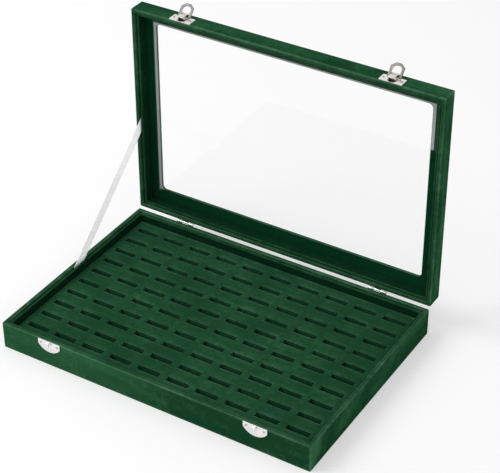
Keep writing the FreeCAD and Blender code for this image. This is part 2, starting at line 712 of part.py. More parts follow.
def catch_plate(hand, centre):
    """A half-moon plate with a hook that curls forward and down from its straight edge."""
    thick = (f"-{HALF_DEPTH} - Sizes.catch_sheet", "Sizes.catch_sheet")
    across = (f"{centre} - Sizes.catch_length / 2", "Sizes.catch_length")
    tall = (f"{CATCH_TOP} - Sizes.catch_height", "Sizes.catch_height")
    blank = box(f"catch_blank_{hand}", across, thick, tall)
    sag = "(Sizes.catch_height - Sizes.catch_end)"
    radius = f"((Sizes.catch_length * Sizes.catch_length / 4 + {sag} * {sag}) / (2 * {sag}))"
    disc = doc.addObject("Part::Cylinder", f"catch_disc_{hand}")
    disc.Placement = Placement(Vector(), Rotation(Vector(1, 0, 0), 90))
    bind(disc, Radius=radius, Height="Sizes.catch_sheet")
    bind(disc, x=centre, y=f"-{HALF_DEPTH}", z=f"{CATCH_TOP} - Sizes.catch_height + {radius}")
    moon = doc.addObject("Part::Common", f"catch_moon_{hand}")
    moon.Base = blank
    moon.Tool = disc
    hook_y = f"(-{HALF_DEPTH} - {LOOP_RISE})"
    stretch = (f"{centre} - Sizes.hook_width / 2", "Sizes.hook_width")
    curl = rod(f"hook_curl_{hand}", "Sizes.hook_radius", *stretch, hook_y, HOOK_Z)
    hollow = rod(f"hook_hollow_{hand}", HOOK_HOLLOW, *stretch, hook_y, HOOK_Z)
    deep = (f"{hook_y} - Sizes.hook_radius", "2 * Sizes.hook_radius")
    low = (f"{HOOK_Z} - Sizes.hook_radius", "Sizes.hook_radius")
    under = box(f"hook_under_{hand}", stretch, deep, low)
    hook = cut(f"hook_half_{hand}", cut(f"hook_ring_{hand}", curl, hollow), under)
    hanging = (f"{HOOK_Z} - Sizes.hook_tail", "Sizes.hook_tail")
    tail = box(f"hook_tail_{hand}", stretch, (deep[0], "Sizes.hook_sheet"), hanging)
    y = measure(f"-{HALF_DEPTH} - Sizes.catch_sheet")
    z = measure(f"{CATCH_TOP} - Sizes.catch_nail_drop")
    nail_out = "(Sizes.catch_length / 2 - Sizes.catch_nail_inset)"
    points = [Vector(measure(f"{centre} + {side} * {nail_out}"), y, z) for side in ("-1", "1")]
    holes = nail_holes(f"catch_holes_{hand}", points, Vector(0, 1, 0))
    cut(f"catch_plate_{hand}", fuse(f"catch_whole_{hand}", [moon, hook, tail]), holes)
    return points


plate_nails = []
catch_nails = []
for hand, sign in HANDS:
    centre = f"({sign}({HALF_WIDTH} - Sizes.latch_inset))"
    plate_nails += [nail(point, Vector(0, 0, -1)) for point in latch_plate(hand, centre)]
    pin_length = "(Sizes.lever_width + Sizes.loop_gap)"
    pin_start = f"{centre} - {pin_length} / 2"
    rod(f"latch_pin_{hand}", "Sizes.lever_pin_radius", pin_start, pin_length, LEVER_Y, LEVER_Z)
    latch_lever(hand, centre)
    latch_loop(hand, centre)
    catch_nails += [nail(point, Vector(0, 1, 0)) for point in catch_plate(hand, centre)]
solids("latch_nails", plate_nails)
solids("catch_nails", catch_nails)

# Ribbon stay: a flat ribbon, taut between the left-hand grooves of base and lid
ribbon_foot = Vector(0, measure(f"{AXIS_Y} - Sizes.ribbon_base_reach"), measure("Sizes.base_height"))
ribbon_head = Vector(0, measure(LID_RIM), measure(f"{AXIS_Z} + Sizes.ribbon_lid_reach"))
ribbon_run = ribbon_head - ribbon_foot
tuck = measure("Sizes.ribbon_tuck")
ribbon = doc.addObject("Part::Box", "ribbon_stay")
bind(ribbon, Length="Sizes.ribbon_sheet", Height="Sizes.ribbon_width")
ribbon.Width = ribbon_run.Length + 2 * tuck
along = Vector(ribbon_run).normalize()
across = Vector(0, -along.z, along.y)
ribbon_corner = ribbon_foot - along * tuck - across * measure("Sizes.ribbon_width / 2")
ribbon_corner.x = measure(f"{WALL} + Sizes.groove / 2 - Sizes.ribbon_sheet / 2 - {HALF_WIDTH}")
ribbon.Placement = Placement(ribbon_corner, Rotation(Vector(0, 1, 0), along))

# Check everything, then write one file for each piece
NODES = ["base_underside_felt", "base_floor_panel", "base_velvet_wrap"]
NODES += ["pad_board", "foam_spacers", "pad_cover"]
NODES += [f"foam_bar_{number:02d}" for number in range(1, rows + 2)]
NODES += sides_of("base", "wall") + sides_of("base", "liner")
NODES += sides_of("lid", "rail") + sides_of("lid", "liner")
NODES += ["glass_pane", "lid_top_frame", "lid_velvet_wrap", "ribbon_stay"]
NODES += ["hinge_base_nails", "hinge_lid_nails", "latch_nails", "catch_nails"]
for hand, sign in HANDS:
    NODES += [f"hinge_base_leaf_{hand}", f"hinge_lid_leaf_{hand}", f"hinge_pin_{hand}"]
    NODES += [f"latch_plate_{hand}", f"latch_pin_{hand}", f"latch_lever_{hand}"]
    NODES += [f"latch_loop_{hand}", f"catch_plate_{hand}"]
doc.recompute()
for thing in doc.Objects:
    if {"Invalid", "Error"} & set(thing.State):
        raise RuntimeError(f"{thing.Name} failed: {thing.State}")
for name in NODES:
    shape = doc.getObject(name).Shape
    if shape.isNull() or not shape.isValid() or not shape.Solids:
        raise RuntimeError(f"{name} has no valid solid")
for name in NODES:
    doc.getObject(name).Shape.exportStep(f"parts/{name}.step")
print(len(NODES), "pieces written")
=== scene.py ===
"""Ring display tray: velvet, glass, nickel and ribbon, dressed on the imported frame."""

import json
import math

import bpy
from bpy.props import FloatProperty, FloatVectorProperty, IntProperty, PointerProperty
from mathutils import Matrix, Vector, noise


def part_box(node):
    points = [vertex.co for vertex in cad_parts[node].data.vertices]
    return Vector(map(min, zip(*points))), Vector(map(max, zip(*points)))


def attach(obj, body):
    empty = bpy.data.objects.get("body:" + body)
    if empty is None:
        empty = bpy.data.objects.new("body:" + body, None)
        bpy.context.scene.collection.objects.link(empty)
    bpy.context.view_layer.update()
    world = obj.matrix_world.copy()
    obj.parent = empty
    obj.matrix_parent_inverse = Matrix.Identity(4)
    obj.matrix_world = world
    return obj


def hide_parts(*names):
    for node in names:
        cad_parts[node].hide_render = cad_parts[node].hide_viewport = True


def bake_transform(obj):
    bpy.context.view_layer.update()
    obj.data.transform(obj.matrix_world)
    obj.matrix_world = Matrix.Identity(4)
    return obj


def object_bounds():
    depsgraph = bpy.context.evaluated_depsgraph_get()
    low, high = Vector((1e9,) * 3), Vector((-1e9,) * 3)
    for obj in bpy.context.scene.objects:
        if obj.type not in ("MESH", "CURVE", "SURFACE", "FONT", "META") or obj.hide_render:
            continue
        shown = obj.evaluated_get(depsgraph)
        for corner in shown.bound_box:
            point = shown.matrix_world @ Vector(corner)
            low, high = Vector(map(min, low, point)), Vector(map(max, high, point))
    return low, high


bl_info = {
    "name": "Ring Display Tray",
    "version": (1, 0, 0),
    "blender": (4, 5, 0),
    "location": "View3D > Sidebar > Ring Tray",
    "description": "Models the cloth, glass and fittings of a ring display tray on its frame",
    "category": "Add Mesh",
}

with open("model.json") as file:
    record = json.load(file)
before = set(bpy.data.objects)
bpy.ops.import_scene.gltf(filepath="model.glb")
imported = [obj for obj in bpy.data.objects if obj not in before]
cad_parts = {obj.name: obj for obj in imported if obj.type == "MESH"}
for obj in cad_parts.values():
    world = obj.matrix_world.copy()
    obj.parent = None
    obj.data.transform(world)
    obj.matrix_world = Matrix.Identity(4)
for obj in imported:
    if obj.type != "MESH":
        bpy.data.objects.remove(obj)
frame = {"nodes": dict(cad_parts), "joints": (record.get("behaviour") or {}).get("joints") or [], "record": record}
CAD_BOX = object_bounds()
MILLIMETRE = 0.001
SIDES = ("front", "back", "left", "right")
AXIS = {"x": Vector((1, 0, 0)), "y": Vector((0, 1, 0)), "z": Vector((0, 0, 1))}

# Distances within which points are one: in a cut or a weld, in a match, in a seam, on an outline
WELD, SLACK, SEAM, LOOSE = 0.001 * MILLIMETRE, 0.02 * MILLIMETRE, 0.05 * MILLIMETRE, 0.1 * MILLIMETRE
# Least cosines: of an edge along an axis, a face that looks along one, a brushed face, a hook's side
STRAIGHT, FACING, BRUSHED, SIDEWAYS = 0.999, 0.9, 0.7, 0.5

# Places read from the frame
PLACES = {joint["name"]: Vector(joint["pos_m"]) for joint in frame["joints"]}
HINGE = PLACES["lid_hinge"]
LEVER_PIN = PLACES["right_lever_pivot"]
BASE_LOW, BASE_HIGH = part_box("base_velvet_wrap")
LID_LOW, LID_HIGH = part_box("lid_velvet_wrap")
PAD_LOW, PAD_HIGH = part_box("pad_cover")
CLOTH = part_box("base_left_wall")[0].x - BASE_LOW.x
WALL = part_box("base_left_wall")[1].x - BASE_LOW.x + CLOTH
FOAM_BARS = sorted(name for name in frame["nodes"] if name.startswith("foam_bar"))
FOAM_ROWS = [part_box(name) for name in FOAM_BARS]


def amount(name, description, default, **options):
    """A number for the panel."""
    return FloatProperty(name=name, description=description, default=default, **options)


def length(name, description, default):
    """A size for the panel, given in millimetres."""
    return amount(name, description, default * MILLIMETRE, unit="LENGTH", precision=5)


def angle(name, description, degrees):
    """An angle for the panel, given in degrees."""
    return amount(name, description, math.radians(degrees), unit="ROTATION")


def position(name, description, default):
    """A place in the scene for the panel."""
    options = {"subtype": "TRANSLATION", "unit": "LENGTH"}
    return FloatVectorProperty(name=name, description=description, default=default, **options)


def colour(name, description, default):
    """A colour for the panel."""
    options = {"subtype": "COLOR", "size": 3, "min": 0, "max": 1}
    return FloatVectorProperty(name=name, description=description, default=default, **options)


class TRAY_PG_cloth(bpy.types.PropertyGroup):
    """Sizes and colours of the velvet, the felt and the boards under them"""

    edge_radius: length("Edge radius", "Rounding of the covered edges", 1.3)
    foot_radius: length("Foot radius", "Rounding where the velvet turns under the floor", 0.8)
    turn_in: length("Turn-in", "How far the velvet goes down behind the liners", 8)
    turn_under: length("Turn-under", "How far the velvet goes in under the floor", 3.9)
    hem_rise: length("Hem rise", "Height of the turned-under velvet above the table", 0.1)
    thickness: length("Velvet thickness", "Backing and pile together", 0.4)
    window_border: length("Window border", "Width of the velvet border round the pane", 19.3)
    window_radius: length("Window radius", "Rounding of the window's corners", 5)
    lip_radius: length("Lip radius", "Rounding of the window's edge", 0.9)
    liner_radius: length("Liner radius", "Rounding of the liners' free edge", 0.8)
    nap_cell: length("Nap cell", "Spacing of the points that carry the brushed nap", 4)
    # The next two and the Crest colour: paler pile along convex edges, partly splayed pile and partly a painted
    # highlight
    highlight_run: length("Crest run", "Distance in which the splayed pile along an edge lies down", 0.9)
    deep: colour("Deep pile", "Velvet looked at along its nap", (0.0076, 0.047, 0.018))
    pale: colour("Pale pile", "Velvet brushed against its nap", (0.034, 0.124, 0.053))
    crest_highlight: colour("Crest", "Pile splayed open along an edge", (0.105, 0.23, 0.145))
    # Share of the painted edge highlight on the lid's inner edges, which lie in shade: painted shade
    inner_highlight: amount("Inner highlight", "Wear of the lid's inner edges", 0.45, min=0, max=1)
    pad_deep: colour("Pad, deep pile", "Pad's velvet looked at along its nap", (0.0095, 0.052, 0.0205))
    pad_pale: colour("Pad, pale pile", "Pad's velvet brushed against its nap", (0.025, 0.104, 0.044))
    # Lining: a darker copy of the velvet, painted shade of the walls
    lining: colour("Lining", "Pile of the liners, in the shade of the walls", (0.003, 0.024, 0.010))
    bed: colour("Bed", "Cloth of the frame behind the pane's edge", (0.0035, 0.042, 0.0165))
    # The next four: a painted reflection in the glass, grey along the window's left side, its top and the upper
    # part of its right side
    painted_reflection: colour("Painted reflection", "Grey tape that holds the pane at its sides and top", (0.42, 0.43, 0.43))
    reflection_width: length("Reflection width", "Width of the tape in sight at the window's sides", 3.4)
    reflection_top: length("Reflection at the top", "Width of the tape in sight at the window's top", 1.5)
    reflection_drop: length("Reflection drop", "How far the tape runs down the window's right side", 49)
    sheen: colour("Sheen", "Light caught by the tips of the pile", (0.18, 0.66, 0.36))
    felt: colour("Felt", "Felt under the floor", (0.012, 0.03, 0.02))
    board: colour("Board", "Bare fibreboard", (0.36, 0.25, 0.15))


class TRAY_PG_pad(bpy.types.PropertyGroup):
    """Sizes of the slotted ring pad"""

    columns: IntProperty(name="Columns", description="Slots in a row", default=10, min=2)
    slot_length: length("Slot length", "Length of a slot", 25)
    column_land: length("End land", "Pad left over beyond a row's last slot", 6.5)
    lip_radius: length("Lip radius", "Rounding of a slot's edge", 1.1)
    edge_radius: length("Edge radius", "Rounding of the pad's own edge", 3)
    crown: length("Crown", "How far the foam stands up between the slots", 0.5)
    crown_run: length("Crown run", "Distance from a slot in which the crown rises", 2.5)
    ripple: length("Ripple", "Unevenness of the stretched velvet", 0.18)
    ripple_count: amount("Ripple count", "Ripples to a metre", 45, min=0)


class TRAY_PG_fittings(bpy.types.PropertyGroup):
    """Finish of the nickel fittings and the pane"""

    nickel: colour("Nickel", "Bright nickel of the plates and hinges", (0.80, 0.77, 0.74))
    catch: colour("Catch", "Freshly plated catch plates", (0.90, 0.88, 0.87))
    lever: colour("Lever", "Pressed levers, a little dulled", (0.74, 0.70, 0.67))
    loop: colour("Loop", "Drawn steel of the loops", (0.19, 0.182, 0.174))
    nails: colour("Nails", "Dull heads of the nails", (0.36, 0.35, 0.34))
    # Painted shade under the levers and on the sides of the catches' hooks, and how far it reaches from a lever's
    # pin
    painted_shade: colour("Painted shade", "Dark grease in the latches' joints and under the hooks", (0.035, 0.03, 0.028))
    painted_shade_reach: length("Painted shade reach", "How far the grease goes from a lever's pin", 5.4)
    edge: length("Pressed edge", "Rounding of the pressed sheet's edges", 0.12)
    pane: colour("Pane", "Tint of the float glass", (0.995, 0.998, 0.996))
    pane_index: amount("Pane index", "How strongly the pane bends and throws back light", 1.25, min=1)


class TRAY_PG_ribbon(bpy.types.PropertyGroup):
    """Sizes and colour of the ribbon stay"""

    width: length("Width", "Width of the ribbon", 12)
    thickness: length("Thickness", "Thickness of the ribbon", 0.3)
    tuck: length("Tuck", "How far each end goes down into its groove", 9)
    base_reach: length("Base reach", "Distance from the hinge to the end in the base", 116)
    lid_reach: length("Lid reach", "Distance from the hinge to the end in the lid", 102)
    satin: colour("Satin", "White satin", (0.96, 0.96, 0.98))


class TRAY_PG_stage(bpy.types.PropertyGroup):
    """Camera, lamps and floor"""

    lens: amount("Lens", "Focal length for the photograph's frame", 118.014, unit="CAMERA")
    eye: position("Eye", "Where the camera stands", (0.70120, -1.07968, 1.01959))
    azimuth: angle("Azimuth", "Turn round the tray", 31.529)
    elevation: angle("Elevation", "Look down", 34.793)
    roll: angle("Roll", "Tilt of the camera", -0.125)
    key_place: position("Key place", "Where the upper left lamp hangs", (-1.7, -1.0, 2.3))
    key_size: length("Key size", "Width of the upper left lamp", 1800)
    key_power: amount("Key power", "Power of the upper left lamp", 46, unit="POWER")
    fill_place: position("Fill place", "Where the right-hand lamp hangs", (1.8, -1.5, 1.3))
    fill_size: length("Fill size", "Width of the right-hand lamp", 1600)
    fill_power: amount("Fill power", "Power of the right-hand lamp", 5, unit="POWER")
    ambient: amount("Ambient", "Even light from all round", 0.66, min=0)
    floor_glow: amount("Floor glow", "Share of plain white in the seen floor", 0.4, min=0, max=1)
    floor: colour("Floor", "White table", (0.96, 0.96, 0.96))


GROUPS = {
    "tray_cloth": TRAY_PG_cloth,
    "tray_pad": TRAY_PG_pad,
    "tray_fittings": TRAY_PG_fittings,
    "tray_ribbon": TRAY_PG_ribbon,
    "tray_stage": TRAY_PG_stage,
}


# Modelling steps
def deselect_all():
    """Leave edit mode with nothing selected."""
    if bpy.context.object and bpy.context.object.mode != "OBJECT":
        bpy.ops.object.mode_set(mode="OBJECT")
    bpy.ops.object.select_all(action="DESELECT")


def activate(piece):
    """Select one piece alone."""
    deselect_all()
    piece.select_set(True)
    bpy.context.view_layer.objects.active = piece


def settle(piece):
    """Put a piece's place, turn and scale into its mesh."""
    activate(piece)
    bpy.ops.object.transform_apply(location=True, rotation=True, scale=True)


def name_piece(name):
    """Name the primitive that was just added."""
    piece = bpy.context.object
    piece.name = name
    piece.data.name = name
    return piece


def add_block(name, low, high):
    """A cube between two corners."""
    deselect_all()
    bpy.ops.mesh.primitive_cube_add(size=1, location=(low + high) / 2)
    piece = name_piece(name)
    piece.scale = high - low
    settle(piece)
    return piece


def edit(piece, kind):
    """Open a piece in edit mode with nothing selected."""
    activate(piece)
    bpy.ops.object.mode_set(mode="EDIT")
    bpy.ops.mesh.select_mode(type=kind)
    bpy.ops.mesh.select_all(action="DESELECT")


def pick_faces(piece, wanted):
    """Open a piece with the faces selected whose middle and normal answer to wanted."""
    edit(piece, "FACE")
    bpy.ops.object.mode_set(mode="OBJECT")
    for face in piece.data.polygons:
        face.select = wanted(face.center, face.normal)
    bpy.ops.object.mode_set(mode="EDIT")


def pick_side(piece, axis):
    """Open a piece with the faces selected that look along an axis."""
    pick_faces(piece, lambda middle, normal: normal.dot(axis) > FACING)


def pick_edges(piece, wanted):
    """Open a piece with the edges selected whose two ends answer to wanted."""
    edit(piece, "EDGE")
    bpy.ops.object.mode_set(mode="OBJECT")
    points = piece.data.vertices
    for edge in piece.data.edges:
        edge.select = wanted(*(points[number].co for number in edge.vertices))
    bpy.ops.object.mode_set(mode="EDIT")


def near(first, second, slack=SLACK):
    """Whether two lengths are the same."""
    return abs(first - second) < slack


def level(a, b, axis, place):
    """Whether both ends of an edge lie at one place along an axis."""
    return near(a.dot(axis), place) and near(b.dot(axis), place)


def along(a, b, axis):
    """Whether an edge runs along one axis."""
    run = b - a
    return abs(run.dot(axis)) > STRAIGHT * run.length


def square_on(a, b):
    """Whether an edge runs along any axis."""
    return any(along(a, b, axis) for axis in AXIS.values())


def extrude_by(offset):
    """Extrude what is selected by an offset."""
    bpy.ops.mesh.extrude_region_move(TRANSFORM_OT_translate={"value": offset})


def bevel(offset, segments):
    """Round the selected edges."""
    options = {"offset_type": "OFFSET", "affect": "EDGES", "clamp_overlap": True}
    bpy.ops.mesh.bevel(offset=offset, segments=segments, **options)


def thicken(piece, thickness, offset):
    """Give a sheet its thickness."""
    activate(piece)
    bpy.ops.object.modifier_add(type="SOLIDIFY")
    modifier = piece.modifiers[-1]
    modifier.thickness = thickness
    modifier.offset = offset
    modifier.use_even_offset = True
    bpy.ops.object.modifier_apply(modifier=modifier.name)


def smooth(piece, degrees=40):
    """Shade a piece smooth but for its sharp edges."""
    activate(piece)
    bpy.ops.object.shade_smooth_by_angle(angle=math.radians(degrees))


def even_highlight(place):
    """The same share of the painted edge highlight everywhere."""
    return 1


def mark_ridges(piece, wear_and_highlight):
    """Store how far each point stands out from its neighbours, times its share of the highlight, for the paler
    pile along edges, partly splayed pile and partly a painted highlight.
    """
    activate(piece)
    mesh = piece.data
    total = [0.0] * len(mesh.vertices)
    count = [0] * len(mesh.vertices)
    for edge in mesh.edges:
        for here, there in (edge.vertices, reversed(edge.vertices)):
            run = (mesh.vertices[there].co - mesh.vertices[here].co).normalized()
            total[here] -= run.dot(mesh.vertices[here].normal)
            count[here] += 1
    attribute = mesh.attributes.new("ridge", "FLOAT", "POINT")
    for number, value in enumerate(total):
        place = mesh.vertices[number].co
        attribute.data[number].value = wear_and_highlight(place) * max(0.0, value / max(1, count[number]))


def cut_across(piece, axis, place):
    """Cut a piece right through at one place along an axis."""
    edit(piece, "VERT")
    bpy.ops.mesh.select_all(action="SELECT")
    bpy.ops.mesh.bisect(plane_co=axis * place, plane_no=axis, threshold=WELD)


def cut_grid(piece, cell, margin):
    """Cut a piece into cells, and a margin inside its faces, so that its points can carry a pattern."""
    corners = [Vector(corner) for corner in piece.bound_box]
    for axis in AXIS.values():
        low = min(corner.dot(axis) for corner in corners)
        high = max(corner.dot(axis) for corner in corners)
        count = round((high - low) / cell)
        for number in range(1, count):
            cut_across(piece, axis, low + (high - low) * number / count)
        for inside in (margin, WALL - margin):
            cut_across(piece, axis, low + inside)
            cut_across(piece, axis, high - inside)


def brush_nap(piece, marks):
    """Store how far the pile is brushed up at each point, from a table of brush marks, two of which paint the
    fall-off of light across the base's front.
    """
    activate(piece)
    attribute = piece.data.attributes.new("nap", "FLOAT", "POINT")
    for vertex, stored in zip(piece.data.vertices, attribute.data):
        value = 0.0
        for facing, middle, stroke, half_length, half_width, lift in marks:
            if vertex.normal.dot(Vector(facing)) < BRUSHED:
                continue
            away = vertex.co - Vector(middle)
            run = Vector(stroke).normalized()
            side = run.cross(Vector(facing))
            reach = max(abs(away.dot(run)) / half_length, abs(away.dot(side)) / half_width)
            value += lift * min(1, max(0, MARK_FADE * (1 - reach)))
        stored.value = value


def coat(piece, material):
    """Give a piece one material alone."""
    piece.data.materials.clear()
    piece.data.materials.append(material)


def dress(piece, material, body, slot, *nodes):
    """Give a piece its material and its body, and hide the nodes that it stands for."""
    coat(piece, material)
    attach(piece, body)
    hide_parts(*nodes)


# Node trees
def set_inputs(node, **inputs):
    """Set a node's plain inputs by name, with _ for a space."""
    for name, value in inputs.items():
        node.inputs[name.replace("_", " ")].default_value = value


def put(tree, kind, **inputs):
    """Add a node and set its plain inputs."""
    node = tree.nodes.new(kind)
    set_inputs(node, **inputs)
    return node


def link(tree, source, target):
    """Join two sockets."""
    tree.links.new(target, source)


def feed(tree, value, target):
    """Give a socket its value: another socket, or a plain number or colour."""
    if isinstance(value, bpy.types.NodeSocket):
        link(tree, value, target)
    else:
        target.default_value = value


def coordinates(tree, kind):
    """Coordinates of one kind, on the piece itself."""
    return tree.nodes.new("ShaderNodeTexCoord").outputs[kind]


# Kinds of a node group's sockets
PLACE, TONE, VALUE = "NodeSocketVector", "NodeSocketColor", "NodeSocketFloat"


def new_group(name, inputs, outputs):
    """A shader node group with its sockets; gives the group, its inlet and its outlet."""
    group = bpy.data.node_groups.new(name, "ShaderNodeTree")
    for socket, kind, value in inputs:
        made = group.interface.new_socket(socket, in_out="INPUT", socket_type=kind)
        made.default_value = value
    for socket, kind in outputs:
        group.interface.new_socket(socket, in_out="OUTPUT", socket_type=kind)
    return group, group.nodes.new("NodeGroupInput"), group.nodes.new("NodeGroupOutput")


def noise_at(tree, vector, scale, detail, roughness):
    """A noise texture on given coordinates; gives its factor."""
    node = put(tree, "ShaderNodeTexNoise", Detail=detail, Roughness=roughness)
    link(tree, vector, node.inputs["Vector"])
    feed(tree, scale, node.inputs["Scale"])
    return node.outputs["Fac"]


def remap(tree, value, low, high):
    """Stretch the values between low and high to the full range."""
    node = put(tree, "ShaderNodeMapRange", From_Min=low, From_Max=high)
    link(tree, value, node.inputs["Value"])
    return node.outputs["Result"]


def spread(tree, value, low, high):
    """Squeeze the full range of values between low and high."""
    node = tree.nodes.new("ShaderNodeMapRange")
    for name, given in (("Value", value), ("To Min", low), ("To Max", high)):
        feed(tree, given, node.inputs[name])
    return node.outputs["Result"]


def combine(tree, operation, first, second):
    """Arithmetic on two values, each a socket or a number."""
    node = tree.nodes.new("ShaderNodeMath")
    node.operation = operation
    feed(tree, first, node.inputs[0])
    feed(tree, second, node.inputs[1])
    return node.outputs[0]


def clamp(tree, value):
    """Keep a value within the full range."""
    node = tree.nodes.new("ShaderNodeClamp")
    link(tree, value, node.inputs["Value"])
    return node.outputs[0]


# Places of the colour sockets on a Mix node
MIX_FIRST, MIX_SECOND, MIX_RESULT = 6, 7, 2


def mix_colours(tree, factor, first, second):
    """Mix two colours, each a socket or a plain colour, by a factor socket."""
    node = tree.nodes.new("ShaderNodeMix")
    node.data_type = "RGBA"
    link(tree, factor, node.inputs["Factor"])
    feed(tree, first, node.inputs[MIX_FIRST])
    feed(tree, second, node.inputs[MIX_SECOND])
    return node.outputs[MIX_RESULT]


# Shares of patches, strokes and tufts in the brushed pile, and how strongly and evenly a ridge pales with the
# painted edge highlight
PATCH_SHARE, STROKE_SHARE, TUFT_SHARE = 0.6, 0.3, 0.5
RIDGE_GAIN, RIDGE_EVENNESS = 3.4, 0.25


def pile_group():
    """Velvet pile: brushed patches, mottling, and paler pile along ridges, partly splayed pile and partly a
    painted highlight.
    """
    group, inlet, outlet = new_group(
        "Velvet pile",
        (
            ("Vector", PLACE, (0, 0, 0)),
            ("Deep", TONE, (0, 0, 0, 1)),
            ("Pale", TONE, (1, 1, 1, 1)),
            ("Crest", TONE, (1, 1, 1, 1)),
            ("Nap", VALUE, 0.0),
            ("Ridge", VALUE, 0.0),
        ),
        (("Color", TONE), ("Roughness", VALUE), ("Height", VALUE)),
    )
    vector = inlet.outputs["Vector"]
    patches = noise_at(group, vector, scale=30, detail=3, roughness=0.55)
    patches = remap(group, patches, low=0.40, high=0.70)
    turned = put(group, "ShaderNodeMapping", Rotation=(0.5, 0.6, 0.4), Scale=(16, 85, 85))
    link(group, vector, turned.inputs["Vector"])
    strokes = noise_at(group, turned.outputs["Vector"], scale=1, detail=2, roughness=0.5)
    strokes = remap(group, strokes, low=0.47, high=0.58)
    mottle = noise_at(group, vector, scale=190, detail=4, roughness=0.6)
    mottle = remap(group, mottle, low=0.30, high=0.75)
    tufts = noise_at(group, vector, scale=1000, detail=3, roughness=0.7)
    patched = combine(group, "MULTIPLY", patches, PATCH_SHARE)
    stroked = combine(group, "MULTIPLY", strokes, STROKE_SHARE)
    brushed = combine(group, "MULTIPLY", combine(group, "ADD", patched, stroked), mottle)
    brushed = combine(group, "ADD", brushed, inlet.outputs["Nap"])
    grain = combine(group, "MULTIPLY", combine(group, "SUBTRACT", tufts, 0.5), TUFT_SHARE)
    mask = clamp(group, combine(group, "ADD", brushed, grain))
    mixed = mix_colours(group, mask, inlet.outputs["Deep"], inlet.outputs["Pale"])
    # Paler pile along ridges: partly splayed pile, partly a painted highlight
    uneven = combine(group, "ADD", combine(group, "ADD", mottle, patches), RIDGE_EVENNESS)
    edge_highlight = combine(group, "MULTIPLY", inlet.outputs["Ridge"], uneven)
    crest_highlight = clamp(group, combine(group, "MULTIPLY", edge_highlight, RIDGE_GAIN))
    mixed = mix_colours(group, crest_highlight, mixed, inlet.outputs["Crest"])
    link(group, mixed, outlet.inputs["Color"])
    link(group, spread(group, mask, low=0.78, high=0.95), outlet.inputs["Roughness"])
    link(group, tufts, outlet.inputs["Height"])
    return group


def grain_group():
    """Fine scratches and cloudy wear, for plated and bare finishes."""
    group, inlet, outlet = new_group(
        "Fine grain",
        (
            ("Vector", PLACE, (0, 0, 0)),
            ("Cloud scale", VALUE, 400.0),
            ("Scratch scale", VALUE, 3000.0),
            ("Low", VALUE, 0.2),
            ("High", VALUE, 0.4),
        ),
        (("Mask", VALUE), ("Roughness", VALUE), ("Height", VALUE)),
    )
    vector = inlet.outputs["Vector"]
    clouds = noise_at(group, vector, inlet.outputs["Cloud scale"], detail=4, roughness=0.6)
    mask = remap(group, clouds, low=0.35, high=0.68)
    stretched = put(group, "ShaderNodeMapping", Scale=(0.06, 1, 1))
    link(group, vector, stretched.inputs["Vector"])
    lines = stretched.outputs["Vector"]
    scratches = noise_at(group, lines, inlet.outputs["Scratch scale"], detail=2, roughness=0.5)
    rough = spread(group, mask, inlet.outputs["Low"], inlet.outputs["High"])
    link(group, mask, outlet.inputs["Mask"])
    link(group, rough, outlet.inputs["Roughness"])
    link(group, scratches, outlet.inputs["Height"])
    return group


def place_group(tree, name, maker, **inputs):
    """Put a node group, made the first time, in a material's tree, on Object coordinates."""
    node = tree.nodes.new("ShaderNodeGroup")
    node.node_tree = bpy.data.node_groups.get(name) or maker()
    link(tree, coordinates(tree, "Object"), node.inputs["Vector"])
    set_inputs(node, **inputs)
    return node


def new_material(name):
    """A material with a bare Principled shader; gives the material, its tree and the shader."""
    material = bpy.data.materials.new(name)
    material.use_nodes = True
    return material, material.node_tree, material.node_tree.nodes["Principled BSDF"]


def add_bump(tree, shader, height, strength, distance):
    """Fine relief from a height socket."""
    node = put(tree, "ShaderNodeBump", Strength=strength, Distance=distance)
    link(tree, height, node.inputs["Height"])
    link(tree, node.outputs["Normal"], shader.inputs["Normal"])


def surface(tree, shader, tone, grain, strength, distance):
    """Give a shader its colour socket, and the roughness and fine relief of a group."""
    link(tree, tone, shader.inputs["Base Color"])
    link(tree, grain.outputs["Roughness"], shader.inputs["Roughness"])
    add_bump(tree, shader, grain.outputs["Height"], strength, distance)


def mix_shaders(tree, factor, first, second):
    """Show a mix of two shaders."""
    node = tree.nodes.new("ShaderNodeMixShader")
    for socket, source in zip(node.inputs, (factor, first, second)):
        link(tree, source, socket)
    link(tree, node.outputs[0], tree.nodes["Material Output"].inputs["Surface"])


def seen_plainly(tree):
    """Whether the camera sees a surface, straight on or by way of metal or glass."""
    path = tree.nodes.new("ShaderNodeLightPath")
    seen = combine(tree, "MAXIMUM", path.outputs["Is Camera Ray"], path.outputs["Is Glossy Ray"])
    return combine(tree, "MAXIMUM", seen, path.outputs["Is Transmission Ray"])


def solid(tone):
    """A colour with its alpha."""
    return (*tone, 1.0)


def shade(tone, share):
    """A share of a colour."""
    return [share * part for part in tone]


def blend_tones(tree, mask, first, second):
    """A colour that goes from the first tone to the second with a mask."""
    ramp = tree.nodes.new("ShaderNodeValToRGB")
    for element, tone in zip(ramp.color_ramp.elements, (first, second)):
        element.color = solid(tone)
    link(tree, mask, ramp.inputs["Fac"])
    return ramp.outputs["Color"]


def found(name):
    """A material that was made before, or nothing."""
    return bpy.data.materials.get(name)


